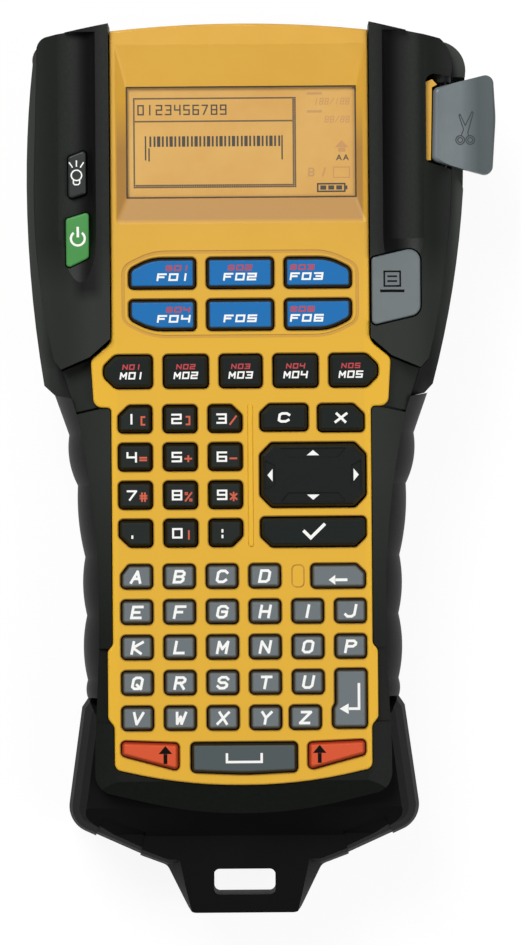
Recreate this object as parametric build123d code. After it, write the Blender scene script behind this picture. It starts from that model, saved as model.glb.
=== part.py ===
from build123d import *
import math
import os

# Handheld label maker lying on its back, in millimetres.
# X runs to the right of the keypad, Y towards the head, Z out of the keypad.
# Plan places are measured from the middle of the length, and moved to the rest bar on export.

# Heights above the plane that the back rests on
FACE_Z = 54.0
PANEL_THICK = 2.4
PANEL_BACK_Z = FACE_Z - PANEL_THICK
PANEL_SKIRT_Z = 46.0
SKIRT_WALL = 1.4
SPLIT_Z = 34.0
CHASSIS_Z = 32.0
RIM_Z = 42.0
WIDEST_Z = 36.0
GRIP_BACK_Z = 12.0
RIDGE_Z = 56.2
TOP_Z = 70.0

# Walls and gaps
WALL = 2.4
SIDE_DRAFT = 7.0
BACK_EDGE_R = 4.0
BACK_EDGE_STEPS = ((1.8, 15.0), (1.3, 35.0), (0.9, 60.0))
GRIP_EDGE_R = 7.0

# Rest bar across the back, below the cassette door: the part's origin is at its middle
REST_Y = 44.0
SLOPE_TOP_Y = 40.0
SLOPE_END_Y = 21.0

# Keys
KEY_GAP = 0.4
KEY_CORNER_R = 1.5
KEY_TOP_Z = 55.7
KEY_BEVEL = (0.8, 1.4)
KEY_EDGE_R = 0.3
KEY_LIP = 0.5
KEY_FLANGE_Z = (50.3, 51.3)
KEY_STEM_Z = 49.5
KEY_STEM_INSET = 1.4
PAD_LIP_Z = (49.6, 50.3)
PIVOT_ROOM_R = 4.0
PIVOT_TOP_Z = 50.2
MOUTH_DEPTH = 0.4
MOUTH_TAPER = 40.0
CORNERS = {"ne": (1, 1), "nw": (-1, 1), "sw": (-1, -1), "se": (1, -1)}

HOT_KEY_X = 22.4
HOT_KEY_ROWS = (56.3, 44.3)
HOT_KEY_SIZE = (19.7, 9.3)
HOT_KEY_CUT = (6.5, 3.3, 2.8, 14.5)
HOT_KEY_CUTS = ("nw", None, "ne", "sw", None, "se")
FUNCTION_Y = 28.05
FUNCTION_KEYS = ((-32.5, 14.5), (-15.8, 13.3), (0.0, 12.7), (15.8, 13.3), (32.5, 14.5))
FUNCTION_HEIGHT = 10.0
FUNCTION_END_CUT = (3.4, 3.4, 2.6, 2.6)
NUMBER_X = -30.55
NUMBER_Y = 14.4
NUMBER_PITCH = (12.97, 10.97)
NUMBER_SIZE = (10.1, 8.3)
SMALL_CUT = (3.2, 3.1)
LETTER_X = -30.4
LETTER_Y = -31.0
LETTER_PITCH = (12.3, 10.2)
LETTER_SIZE = (9.5, 7.3)
LETTER_COUNTS = (4, 6, 6, 5, 5)
LAST_LETTER_SHIFT = -0.9
CLEAR_KEY = (12.35, 14.6, 14.2, 8.2)
ESCAPE_KEY = (28.75, 14.4, 13.8, 8.4)
NAVIGATION = (20.6, -2.0, 31.0, 19.0)
OK_KEY = (20.6, -18.4, 30.8, 9.0)
BACKSPACE = (27.65, -31.15, 16.1, 7.4)
ENTER_POINTS = ((35.95, -57.7), (26.3, -57.7), (26.3, -67.8), (25.5, -69.2), (25.5, -75.2), (35.95, -75.2))
SPACE_POINTS = ((15.7, -78.7), (-15.3, -78.7), (-15.3, -87.6), (0.2, -88.3), (15.7, -87.6))
SHIFT_POINTS = ((18.4, -78.8), (35.4, -78.1), (35.4, -82.7), (18.4, -87.3))

# Shoulder buttons: corner points of each cap
BACKLIGHT_POINTS = ((-49.3, 90.2), (-44.1, 92.2), (-44.1, 79.5), (-49.3, 77.9))
POWER_POINTS = ((-50.1, 72.3), (-43.4, 74.3), (-43.4, 61.0), (-50.1, 57.8))
PRINT_POINTS = ((37.9, 60.4), (51.9, 63.6), (51.9, 44.2), (37.9, 40.9))
PRINT_RADII = (1.0, 3.2, 3.2, 1.2)
BUTTON_GAP = 0.35
BUTTON_CORNER_R = 1.0

# Display
POCKET_X = (-35.7, 36.5)
POCKET_Y = (70.6, 122.2)
WINDOW_X = (-32.6, 33.8)
WINDOW_Y = (78.0, 110.3)
POCKET_FLOOR_Z = 51.6
WINDOW_Z = (50.2, 51.2)
LCD_Z = (45.0, 50.1)
BEZEL_BACK_Z = 49.4

# Board and key mat
BOARD_Z = (46.4, 48.0)
MAT_Z = (48.0, 48.6)

# Lower frame: right-hand plan of each step and how far it lies below the crown
FRAME_STEPS = (
    (((36.0, 18.4), (60.0, 13.2), (60.0, 40.0), (36.0, 40.0)), 1.8),
    (((36.0, 18.4), (60.0, 13.2), (60.0, 13.9), (36.0, 19.1)), 3.2),
    (((36.0, -73.2), (60.0, -73.2), (60.0, -51.6), (36.0, -51.6)), 1.4),
)

# Shoulder covers: where the channel starts to fade out
CHANNEL_END_Y = 66.0

# Side grips: turned about a line inside the handle; points between the scallops and how far each one bulges
GRIP_AXIS_X = 26.0
GRIP_TOP = (55.0, 24.0)
GRIP_NOTCHES = ((50.1, 10.1), (47.7, -4.6), (45.7, -25.4), (45.3, -42.4), (45.2, -61.2), (45.3, -66.2))
GRIP_BULGES = (1.2, 0.8, 0.9, 1.1, 0.4)

# End bumper: outline with its corner radii, the height where its edge starts to roll over, the roll in steps of
# height and draft, the sunk pads on its slanted edges, and how far its pieces overlap
BUMPER_SIDE = ((45.2, -66.4), (47.1, -69.2), (51.8, -103.0), (30.0, -112.8), (22.5, -115.6))
BUMPER_RADII = (0, 0, 8, 8)
BUMPER_EDGE_Z = 28.0
BUMPER_ROLL = ((8.0, 8.0), (6.0, 20.0), (6.0, 26.0))
BUMPER_PAD = ((41.0, -100.6), (44.6, -110.0), (31.6, -117.0), (28.6, -105.4))
BUMPER_PAD_SINK = (-0.25, 0.5, -0.5)
BUMPER_PAD_Z = 20.0
BUMPER_LAP = 1.0

# Strap lug: its end, radii at the end and the root, the foot and the top between which its sides slope, and its slot
LUG_END = (15.9, -129.0)
LUG_END_R = 3.0
LUG_ROOT_R = 3.0
LUG_FOOT = ((32.6, -98.0), (15.9, -129.2))
LUG_TOP = ((20.7, -98.0), (15.1, -129.2))
LUG_TOP_Z = 41.0
STRAP_Y = -119.95
STRAP_SLOT = (17.9, 7.5)
STRAP_SLOT_R = 1.7

# Feed drive: gears of one module in a row, and their places
GEAR_MODULE = 0.8
GEAR_Z = (35.0, 38.5)
PRESSURE_ANGLE = 20.0
BACKLASH = 0.16
PLATEN_TEETH = 18
IDLER_TEETH = 24
PINION_TEETH = 12
PLATEN_XY = (43.7, 93.7)
IDLER_LEAN = 2.3
PINION_LEAN = 1.0
SHAFT_R = 1.5
RUNNING_GAP = 0.06
TAPE_X = 40.0
PLATEN_R = PLATEN_XY[0] - TAPE_X - 0.1
EXIT_SLOT = (5.0, 24.0)
EXIT_Z = 19.0

# Cutter
PIVOT_X = 58.5
PIVOT_Z = 44.0
PIVOT_R = 1.5
PIVOT_Y = (85.2, 115.3)
PIVOT_BOSS = (2.9, 111.2)
LEVER_POINTS = ((55.6, 88.4), (56.1, 109.3), (73.4, 113.6), (74.1, 100.5), (73.0, 83.6))
LEVER_RADII = (1.8, 1.8, 2.4, 30.0, 2.4)
LEVER_Z = (45.5, 51.5)
LEVER_EDGE_R = 1.4
BARREL_R = 2.6
BARREL_Y = (91.6, 109.2)
SPRING_Y = 87.6
SPRING_ROOM_R = 3.0
DISH_R = 30.0
DISH_DEPTH = 1.2
LEVER_POCKET_POINTS = ((53.9, 88.1), (53.9, 113.9), (65.0, 112.4), (75.0, 114.9), (75.0, 82.4))
LEVER_POCKET_RADII = (1.5, 2.5, 1.0, 0.1, 0.1)
LEVER_POCKET_Z = 36.0
LEVER_NOTCH_POINTS = ((62.0, 113.0), (70.0, 113.0), (70.0, 70.8), (62.0, 86.2))
LEVER_NOTCH_Z = 38.0
GUIDE_POINTS = ((54.0, 88.6), (55.3, 88.6), (55.75, 109.6), (57.2, 110.4), (55.8, 111.9), (54.0, 111.2))
GUIDE_Z = (46.3, 47.9, 50.2)
ARM_Y = (104.0, 107.0)
ARM_FOOT_Z = 23.0
BLADE_X = (44.4, 56.7)
BLADE_Y = (105.0, 106.2)
BLADE_Z = (8.0, 30.0)

# Cassette and its door
CASSETTE_X = (-44.0, 35.0)
CASSETTE_Y = (56.0, 113.0)
CASSETTE_Z = (4.5, 30.5)
ROLL_XY = (-14.0, 84.5)
ROLL_R = 22.0
HUB_R = 6.0
DOOR_X = (-46.0, 45.0)
DOOR_Y = (51.0, 115.5)
DOOR_Z = (0.6, 3.0)
HINGE_R = 2.6
HINGE_Z = DOOR_Z[0] + HINGE_R
DOOR_PIN_R = 1.0
DOOR_GAP = 0.4

# Battery bay
CELL_R = 7.1
CELL_LENGTH = 50.3
CELL_PITCH = 15.0
BAY_X = 24.0
BAY_WALL = 3.6
BAY_Y = (-86.0, 19.0)
BAY_TOP_Z = 30.4
COVER_X = 26.0
COVER_Y = (-87.2, 20.2)

# Screws: plan place and the height of the face that each head sinks into
HEAD_SCREWS = ((-51.5, 110.0), (-51.5, 46.0), (52.5, 46.0), (51.0, 116.5))
GRIP_SCREWS = ((-39.4, -84.0), (39.4, -84.0))
SCREW_R = 1.5
SCREW_HEAD_R = 2.7
SCREW_TIP_Z = 41.0
BOSS_R = 3.2
COVER_BOSS = (2.8, 15.4)

# Power inlet on the left side of the head
JACK_YZ = (62.0, 22.0)
JACK_FACE_X = -58.0
JACK_BORE_R = 2.9
JACK_PIN_R = 1.05
JACK_DEPTH = 9.0


def block(x, y, z):
    """Box between pairs of limits."""
    size = [pair[1] - pair[0] for pair in (x, y, z)]
    return Pos(x[0], y[0], z[0]) * Box(*size, align=(Align.MIN,) * 3)


def raised(face, low, high, taper=0.0):
    """Plan face raised from one height to another."""
    if high < low:
        return extrude(Pos(0, 0, low) * face, amount=low - high, dir=(0, 0, -1), taper=taper)
    return extrude(Pos(0, 0, low) * face, amount=high - low, dir=(0, 0, 1), taper=taper)


def swept_y(face, low, high):
    """Section drawn in X and Z, carried along Y."""
    return extrude(Plane.XZ.offset(-low) * face, amount=high - low, dir=(0, 1, 0))


def swept_x(face, low, high):
    """Section drawn in Y and Z, carried along X."""
    return extrude(Plane.YZ.offset(low) * face, amount=high - low, dir=(1, 0, 0))


def rounded(points, radius):
    """Plan face of a polygon with rounded corners."""
    return make_face(FilletPolyline(*points, radius=radius, close=True))


def rectangle(x, y):
    """Corner points between pairs of limits, from the upper right one to the left."""
    return [(x[1], y[1]), (x[0], y[1]), (x[0], y[0]), (x[1], y[0])]


def traced(start, *steps):
    """Plan face traced from a start point; a step is a point, or a pair of via and end points of an arc."""
    edges = []
    here = start
    for step in steps:
        if isinstance(step[0], tuple):
            edges.append(ThreePointArc(here, step[0], step[1]))
            here = step[1]
        else:
            edges.append(Line(here, step))
            here = step
    edges.append(Line(here, start))
    return make_face(edges)


def mirrored(shape):
    """Left-hand twin of a shape."""
    return mirror(shape, about=Plane.YZ)


def both_sides(half):
    """Whole plan face from its right half."""
    return half + mirrored(half)


def round_bar(radius, start, end):
    """Round bar between two points."""
    span = Vector(*end) - Vector(*start)
    bar = Cylinder(radius, span.length, align=(Align.CENTER, Align.CENTER, Align.MIN))
    return Plane(origin=start, z_dir=span) * bar


# Plan outlines


def panel_plan():
    """Outline of the yellow front panel."""
    side = FilletPolyline(
        (37.2, 126.2), (37.2, 36.6), (43.2, 31.6), (42.4, 17.9), (37.4, 17.7), (37.4, -50.6),
        (38.9, -52.4), (38.9, -71.9), (37.1, -74.2), (37.1, -86.6), (33.5, -87.4),
        radius=[4, 2.5, 2.5, 1.2, 2, 2, 2, 2, 2.2],
    )
    top = ThreePointArc((0, 128.2), (18.7, 127.7), (37.2, 126.2))
    bottom = ThreePointArc((33.5, -87.4), (17, -90.3), (0, -91.2))
    half = make_face([top, *side.edges(), bottom, Line((0, -91.2), (0, 128.2))])
    return both_sides(half)


def shoulder_plan(right):
    """Outline of a shoulder cover; the right one is wider for the cutter."""
    inner = (37.5, 37.6)
    lower = ((51.9, 28.9), (43.6, 32.3))
    if right:
        return traced(
            inner, (37.5, 128.4), (58.2, 123.8), ((60.8, 120.6), (61.4, 113.2)), (61.4, 84.6),
            ((59.4, 59.0), (54.2, 31.4)), *lower,
        )
    return mirrored(traced(
        inner, (37.5, 128.4), (55.4, 125.0), ((57.6, 123.7), (58.4, 120.6)), (59.3, 88.0),
        ((58.0, 55.0), (53.8, 31.4)), *lower,
    ))


def head_plan():
    """Outline of the head of the rear case at its widest height."""
    return traced(
        (-49.0, 20.6), (49.0, 20.6), (53.2, 21.6), (55.6, 24.2), ((61.6, 52.0), (64.8, 80.0)),
        (65.6, 113.5), ((64.2, 119.8), (60.0, 123.0)), (37.6, 126.2), ((0, 127.6), (-37.6, 126.2)),
        (-55.4, 123.8), ((-58.6, 121.9), (-59.7, 117.5)), ((-61.2, 100.0), (-61.7, 82.0)),
        ((-60.4, 52.0), (-57.0, 24.4)), (-54.0, 21.6),
    )


def head_room_plan():
    """Inside of the head's side walls at their widest height."""
    return make_face(Polyline(
        (-50.0, 23.6), (50.0, 23.6), (53.6, 27.0), (58.9, 52.0), (61.7, 78.0), (62.2, 112.5),
        (57.0, 120.2), (37.6, 123.6), (-37.6, 123.6), (-53.6, 121.0), (-56.9, 116.5), (-58.8, 82.0),
        (-57.6, 52.0), (-54.4, 27.0), close=True,
    ))


def core_plan():
    """Outline that the lower frame and the hand grip of the rear case share."""
    half = ((43.3, 31.8), (51.6, 28.5), (46.9, 14.5), (43.5, -5.0), (41.5, -27.0), (41.4, -50.0),
            (42.8, -80.0), (42.8, -92.6))
    radii = (1, 1, 60, 150, 150, 150, 150, 6)
    left = [(-x, y) for x, y in reversed(half)]
    return rounded([*half, (0, -103.0), *left], [*radii, 120, *reversed(radii)])


def key_plan(size, corner_cuts=None):
    """Outline of a key opening about its centre; cut corners give run, rise and two radii."""
    cuts = corner_cuts or {}
    points = []
    radii = []
    for name, (sx, sy) in CORNERS.items():
        x, y = sx * size[0] / 2, sy * size[1] / 2
        if name not in cuts:
            points.append((x, y))
            radii.append(KEY_CORNER_R)
            continue
        run, rise, side_r, end_r = (*cuts[name], KEY_CORNER_R, KEY_CORNER_R)[:4]
        pair = [((x, y - sy * rise), side_r), ((x - sx * run, y), end_r)]
        for point, radius in pair if sx * sy > 0 else reversed(pair):
            points.append(point)
            radii.append(radius)
    return rounded(points, radii)


def placed_key(spec, corner_cuts=None):
    """Outline of a key opening given as centre and size."""
    return Pos(spec[0], spec[1]) * key_plan(spec[2:], corner_cuts)


def hot_key_plans():
    """Outlines of the six hot keys, row by row; the outer ones have one swept corner."""
    centres = [(x, y) for y in HOT_KEY_ROWS for x in (-HOT_KEY_X, 0.0, HOT_KEY_X)]
    cuts = [{corner: HOT_KEY_CUT} if corner else None for corner in HOT_KEY_CUTS]
    return [Pos(*centre) * key_plan(HOT_KEY_SIZE, cut) for centre, cut in zip(centres, cuts)]


def function_key_plans():
    """Outlines of the function keys; the end ones are rounded outside."""
    plans = []
    for x, width in FUNCTION_KEYS:
        cut = None
        if abs(x) > FUNCTION_KEYS[3][0]:
            side = "e" if x > 0 else "w"
            cut = {"n" + side: FUNCTION_END_CUT, "s" + side: FUNCTION_END_CUT}
        plans.append(Pos(x, FUNCTION_Y) * key_plan((width, FUNCTION_HEIGHT), cut))
    return plans


def number_row_plans(row):
    """Outlines of one row of number keys; the block's outer corners are cut."""
    corner = {0: "n", 3: "s"}.get(row)
    plans = []
    for column in range(3):
        cut = None
        if corner and column != 1:
            cut = {corner + ("w" if column == 0 else "e"): SMALL_CUT}
        place = Pos(NUMBER_X + column * NUMBER_PITCH[0], NUMBER_Y - row * NUMBER_PITCH[1])
        plans.append(place * key_plan(NUMBER_SIZE, cut))
    return plans


def letter_row_plans(row):
    """Outlines of one row of letter keys."""
    plans = []
    for column in range(LETTER_COUNTS[row]):
        x = LETTER_X + column * LETTER_PITCH[0]
        if row == 4 and column == 4:
            x += LAST_LETTER_SHIFT
        cut = {"nw": (2.3, 3.0)} if row == 0 and column == 0 else None
        plans.append(Pos(x, LETTER_Y - row * LETTER_PITCH[1]) * key_plan(LETTER_SIZE, cut))
    return plans


def control_key_plans():
    """Outlines of the keys that have their own nodes, by node name."""
    octagon = {name: (3.4, 3.5) for name in CORNERS}
    left_shift = [(-x, y) for x, y in reversed(SHIFT_POINTS)]
    return {
        "clear_key": placed_key(CLEAR_KEY, {"nw": (2.7, 2.6)}),
        "escape_key": placed_key(ESCAPE_KEY, {"ne": SMALL_CUT}),
        "navigation_pad": placed_key(NAVIGATION, octagon),
        "ok_key": placed_key(OK_KEY, {"sw": SMALL_CUT, "se": SMALL_CUT}),
        "backspace_key": placed_key(BACKSPACE, {"ne": (2.7, 2.7)}),
        "enter_key": rounded(ENTER_POINTS, (1.5, 1.5, 1.0, 2.0, 1.5, 1.5)),
        "space_key": rounded(SPACE_POINTS, (1.5, 1.5, 1.5, 80, 1.5)),
        "left_shift_key": rounded(left_shift, KEY_CORNER_R),
        "right_shift_key": rounded(SHIFT_POINTS, KEY_CORNER_R),
    }


def stem_key_plans():
    """Openings of every key that is pressed straight in."""
    controls = control_key_plans()
    del controls["navigation_pad"]
    plans = hot_key_plans() + function_key_plans() + list(controls.values())
    for row in range(4):
        plans += number_row_plans(row)
    for row in range(len(LETTER_COUNTS)):
        plans += letter_row_plans(row)
    return plans


# Keys and buttons


def key_cap(plan, low):
    """Cap of a key or pad with a bevelled and softened top."""
    cap = raised(plan, low, KEY_TOP_Z)
    top = cap.faces().sort_by(Axis.Z)[-1]
    cap = chamfer(top.edges(), KEY_BEVEL[0], KEY_BEVEL[1], reference=top)
    return fillet(cap.faces().sort_by(Axis.Z)[-1].edges(), KEY_EDGE_R)


def key_solid(plan):
    """Key with a bevelled cap, a lip under the panel and a stem above the board."""
    cap = key_cap(offset(plan, amount=-KEY_GAP), KEY_FLANGE_Z[0])
    lip = raised(offset(plan, amount=KEY_LIP), *KEY_FLANGE_Z)
    stem = raised(offset(plan, amount=-KEY_STEM_INSET), KEY_STEM_Z, KEY_FLANGE_Z[0])
    return cap + lip + stem


def key_group(plans):
    """Separate keys of one row."""
    return Compound([key_solid(plan) for plan in plans])


def navigation_pad():
    """Rocking pad with four sunk finger bars; its lip leaves room to tilt."""
    plan = control_key_plans()["navigation_pad"]
    x, y, width, height = NAVIGATION
    pad = key_cap(offset(plan, amount=-KEY_GAP - 0.1), PAD_LIP_Z[0])
    pad += raised(offset(plan, amount=KEY_LIP), *PAD_LIP_Z)
    long_bar = rounded(((9.6, 1.4), (-9.6, 1.4), (-7.2, -1.4), (7.2, -1.4)), 0.3)
    short_bar = rounded(((-1.5, 4.4), (-1.5, -4.4), (1.5, -2.8), (1.5, 2.8)), 0.3)
    sunk = KEY_TOP_Z - 0.5
    for bar, dx, dy in ((long_bar, 0, height / 2 - 3.1), (short_bar, 3.1 - width / 2, 0)):
        pad -= raised(Pos(x + dx, y + dy) * bar, sunk, TOP_Z)
        pad -= raised(Pos(x - dx, y - dy) * Rot(0, 0, 180) * bar, sunk, TOP_Z)
    return pad - round_bar(PIVOT_ROOM_R, (x, y, 40), (x, y, PIVOT_TOP_Z))


def navigation_pivot():
    """Domed stud that the navigation pad rocks on."""
    low = BOARD_Z[1] + 0.25
    stud = Cone(2.6, 0.8, PIVOT_TOP_Z - 0.1 - low, align=(Align.CENTER, Align.CENTER, Align.MIN))
    return Pos(*NAVIGATION[:2], low) * stud


def button_plan(points):
    """Cap outline of a shoulder button."""
    return rounded(points, PRINT_RADII if points == PRINT_POINTS else BUTTON_CORNER_R)


def shoulder_button(points, section):
    """Shoulder button whose top follows a section drawn in X and Z."""
    plan = button_plan(points)
    low = min(y for _, y in points) - 1
    high = max(y for _, y in points) + 1
    cap = raised(plan, SPLIT_Z + 9, TOP_Z) & swept_y(section, low, high)
    cap = fillet(cap.faces().sort_by(Axis.Z)[-1].edges(), 0.6)
    lip = raised(offset(plan, amount=0.9), SPLIT_Z + 9, SPLIT_Z + 10.2)
    return cap + lip


def left_button(points):
    """Button in the channel of the left shoulder."""
    section = make_face(Polyline((-55, 40), (-40, 40), (-40, 54.0), (-55, 52.8), close=True))
    return shoulder_button(points, section)


def print_button():
    """Large button at the foot of the right shoulder's channel."""
    section = make_face(Polyline((35, 40), (56, 40), (56, 53.0), (48, 54.8), (35, 56.6), close=True))
    plan = button_plan(PRINT_POINTS)
    cap = raised(plan, SPLIT_Z + 9, TOP_Z) & swept_y(section, 40, 65)
    cap = fillet(cap.faces().sort_by(Axis.Z)[-2:].edges().filter_by(lambda e: e.center().Z > 52.5), 0.6)
    lip = raised(offset(plan, amount=0.9), SPLIT_Z + 9, SPLIT_Z + 10.2)
    return cap + (lip & block((37.7, 60), (35, 70), (40, 50)))


# Front covers


def rimmed_pocket():
    """Sloped recess that leads down to the display window."""
    outer = Pos(0, 0, FACE_Z) * rounded(rectangle(POCKET_X, POCKET_Y), 0.8)
    inner = Pos(0, 0, POCKET_FLOOR_Z) * rounded(rectangle(WINDOW_X, WINDOW_Y), 0.8)
    return loft([inner, outer], ruled=True)


def ring(plan, width, low, high):
    """Wall of a given width inside a plan outline."""
    return raised(plan - offset(plan, amount=-width), low, high)


def hot_key_border():
    """Outline of the shallow groove round the hot keys."""
    swept = (8.6, 4.3, 4.0, 18.0)
    plan = key_plan((68.3, 25.2), {name: swept for name in CORNERS})
    return Pos(0, sum(HOT_KEY_ROWS) / 2) * plan


def front_panel():
    """Yellow front shell with key openings, display recess and the lever guide."""
    plan = panel_plan()
    plate = raised(plan, PANEL_BACK_Z, FACE_Z)
    plate = fillet(plate.faces().sort_by(Axis.Z)[-1].edges(), 0.6)
    panel = plate + ring(plan, SKIRT_WALL, PANEL_SKIRT_Z, PANEL_BACK_Z)
    panel += block((-36.5, 36.5), (68.0, 125.0), (BEZEL_BACK_Z, PANEL_BACK_Z))
    panel -= rimmed_pocket()
    panel -= block(WINDOW_X, WINDOW_Y, (0, FACE_Z))
    panel -= block((WINDOW_X[0] - 1, WINDOW_X[1] + 1), (WINDOW_Y[0] - 1, WINDOW_Y[1] + 1), (0, WINDOW_Z[1]))
    openings = [*stem_key_plans(), control_key_plans()["navigation_pad"]]
    panel -= [raised(plan, PANEL_BACK_Z - 1, FACE_Z + 1) for plan in openings]
    lips = [offset(plan, amount=KEY_LIP + 0.3) for plan in openings]
    panel -= [raised(plan, PANEL_SKIRT_Z + 2, PANEL_BACK_Z) for plan in lips]
    panel -= [raised(plan, FACE_Z - MOUTH_DEPTH, FACE_Z, -MOUTH_TAPER) for plan in openings]
    panel -= raised(hot_key_border() - offset(hot_key_border(), amount=-0.9), FACE_Z - 0.25, FACE_Z + 1)
    mark = Pos(16.05, -31.1) * key_plan((3.8, 6.7))
    panel -= raised(mark - offset(mark, amount=-0.35), FACE_Z - 0.3, FACE_Z + 1)
    rib = raised(Pos(2.6, -2.0) * Rot(0, 0, 90) * SlotOverall(41.0, 1.5), PANEL_BACK_Z, FACE_Z + 0.5)
    panel += fillet(rib.faces().sort_by(Axis.Z)[-1].edges(), 0.35)
    panel += block((36.0, 54.6), (88.6, 110.0), GUIDE_Z[:2])
    return panel + raised(make_face(Polyline(*GUIDE_POINTS, close=True)), GUIDE_Z[0], GUIDE_Z[2])


def shoulder_under(drop, right):
    """Space under a shoulder cover's crowned top, lowered by a drop."""
    shift = 2.2 if right else 0.0
    start, end = (41.2, RIDGE_Z - 0.2), (63.0 + shift, 41.0)
    top = Spline(start, (47.0, 54.7), (53.0 + shift, 51.4), (58.0 + shift, 47.0), end)
    under = make_face([
        Line((36.0, 20.0), (36.0, RIDGE_Z)), Line((36.0, RIDGE_Z), start), top,
        Line(end, (end[0], 20.0)), Line((end[0], 20.0), (36.0, 20.0)),
    ])
    solid = swept_y(Pos(0, -drop) * under, 20, 130)
    return solid if right else mirrored(solid)


def shoulder_channel(right):
    """Channel along a shoulder cover that fades out towards its lower end."""
    start, end = (41.3, 55.9), (53.8, 53.0)
    section = make_face([
        Spline(start, (43.4, 52.8), (47.0, 51.3), (50.8, 51.4), end),
        Line(end, (54.0, 60.0)), Line((54.0, 60.0), (41.3, 60.0)), Line((41.3, 60.0), start),
    ])
    face = Plane.XZ.offset(-CHANNEL_END_Y) * section
    channel = extrude(face, amount=60, dir=(0, 1, 0)) + extrude(face, amount=13.5, dir=(0, -13, 3.8))
    return channel if right else mirrored(channel)


def cover_boss(place):
    """Screw boss under a front cover."""
    return Pos(*place, SPLIT_Z) * Cylinder(*COVER_BOSS, align=(Align.CENTER, Align.CENTER, Align.MIN))


def pilot_hole(place):
    """Hole in a front part that a screw bites into."""
    return Pos(*place, SPLIT_Z) * Cylinder(SCREW_R + 0.02, 2 * (SCREW_TIP_Z - SPLIT_Z + 0.5))


def shoulder_cover(right, screws):
    """Crowned black cover beside the display, hollow below."""
    plan = shoulder_plan(right)
    cover = raised(plan, SPLIT_Z, TOP_Z) & shoulder_under(0, right)
    cover -= shoulder_channel(right)
    hollow = raised(offset(plan, amount=-2.2), SPLIT_Z - 1, TOP_Z) & shoulder_under(WALL + 0.4, right)
    channel_skin = Pos(0, 0, -WALL) * shoulder_channel(right)
    hollow -= channel_skin
    if right:
        hollow -= raised(offset(lever_pocket_plan(), amount=2.2), SPLIT_Z - 2, TOP_Z)
    cover -= hollow
    for place in screws:
        cover += cover_boss(place)
        cover -= pilot_hole(place)
    return cover


def left_shoulder_cover():
    """Left cover with the openings of the backlight and power buttons."""
    cover = shoulder_cover(False, HEAD_SCREWS[:2])
    for points in (BACKLIGHT_POINTS, POWER_POINTS):
        cover -= raised(offset(button_plan(points), amount=BUTTON_GAP), SPLIT_Z + 10.4, TOP_Z)
        cover -= raised(offset(button_plan(points), amount=1.3), SPLIT_Z + 5, SPLIT_Z + 10.6)
    return cover


def right_shoulder_cover():
    """Right cover with the print button's opening and the cutter lever's pocket."""
    cover = shoulder_cover(True, HEAD_SCREWS[2:])
    plan = button_plan(PRINT_POINTS)
    cover -= raised(offset(plan, amount=BUTTON_GAP + 0.1), SPLIT_Z + 10.4, TOP_Z)
    cover -= raised(offset(plan, amount=1.3), SPLIT_Z + 5, SPLIT_Z + 10.6)
    boss = round_bar(PIVOT_BOSS[0], (PIVOT_X, PIVOT_BOSS[1], PIVOT_Z), (PIVOT_X, 120, PIVOT_Z))
    cover -= raised(lever_pocket_plan(), LEVER_POCKET_Z, TOP_Z) - boss
    cover -= block((50.0, 75), (ARM_Y[0] - 0.6, ARM_Y[1] + 0.6), (30, LEVER_POCKET_Z + 1))
    cover -= block((37.0, 54.2), (88.4, 110.2), (GUIDE_Z[0] - 0.2, GUIDE_Z[1] + 0.2))
    for (x, y), teeth in zip(drive_places(), (PLATEN_TEETH, IDLER_TEETH, PINION_TEETH)):
        room_r = GEAR_MODULE * (teeth / 2 + 1) + 0.8
        cover -= round_bar(room_r, (x, y, SPLIT_Z - 1), (x, y, GEAR_Z[1] + 1.5))
    return cover - pivot_bar(PIVOT_R)


def lower_crown(drop):
    """Space under the lower frame's crowned top, lowered by a drop."""
    right = ThreePointArc((36.0, 53.4), (45.0, 51.2), (55.0, 44.8))
    section = make_face([
        Line((0, 20), (0, 53.4)), Line((0, 53.4), (36.0, 53.4)), right, Line((55.0, 44.8), (55.0, 20)),
        Line((55.0, 20), (0, 20)),
    ])
    side = Pos(0, -drop) * both_sides(section)
    end = make_face(Polyline(
        (40, 20), (40, 60), (-86, 60), (-90, 53.4 - drop), (-104, 48.0 - drop), (-104, 20), close=True,
    ))
    return swept_y(side, -104, 40) & swept_x(end, -60, 60)


def frame_step(points, drop):
    """Space cut from both sides of the lower frame down to its lowered crown."""
    plan = make_face(Polyline(*points, close=True))
    return (raised(plan, SPLIT_Z, TOP_Z) + raised(mirrored(plan), SPLIT_Z, TOP_Z)) - lower_crown(drop)


def lower_frame():
    """Black frame round the lower part of the panel, stepped where the panel widens."""
    frame = raised(core_plan() - offset(panel_plan(), amount=0.25), SPLIT_Z, TOP_Z) & lower_crown(0)
    for points, drop in FRAME_STEPS:
        frame -= frame_step(points, drop)
    for place in GRIP_SCREWS:
        frame -= pilot_hole(place)
    return frame


# Rear case and rubber parts


def back_slope(lift):
    """Space below the sloped step between the head's back and the grip's back."""
    top = GRIP_BACK_Z - 1 + lift
    step = make_face(Polyline(
        (SLOPE_TOP_Y, -1), (SLOPE_TOP_Y, lift), (SLOPE_END_Y, top), (0, top), (0, -1), close=True,
    ))
    return swept_x(step, -80, 80)


def rear_head():
    """Head of the rear case: drafted walls, rounded back edge and the flared rim."""
    plan = head_plan()
    head = raised(plan, WIDEST_Z, BACK_EDGE_R, SIDE_DRAFT)
    for depth, draft in BACK_EDGE_STEPS:
        end = head.faces().sort_by(Axis.Z)[0]
        head += extrude(end, amount=depth, dir=(0, 0, -1), taper=draft)
    return head + raised(plan, WIDEST_Z, RIM_Z) - back_slope(0)


def rear_grip():
    """Hand grip of the rear case with a rounded back."""
    grip = raised(core_plan(), GRIP_BACK_Z, SPLIT_Z)
    return fillet(grip.faces().sort_by(Axis.Z)[0].edges(), GRIP_EDGE_R)


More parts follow.
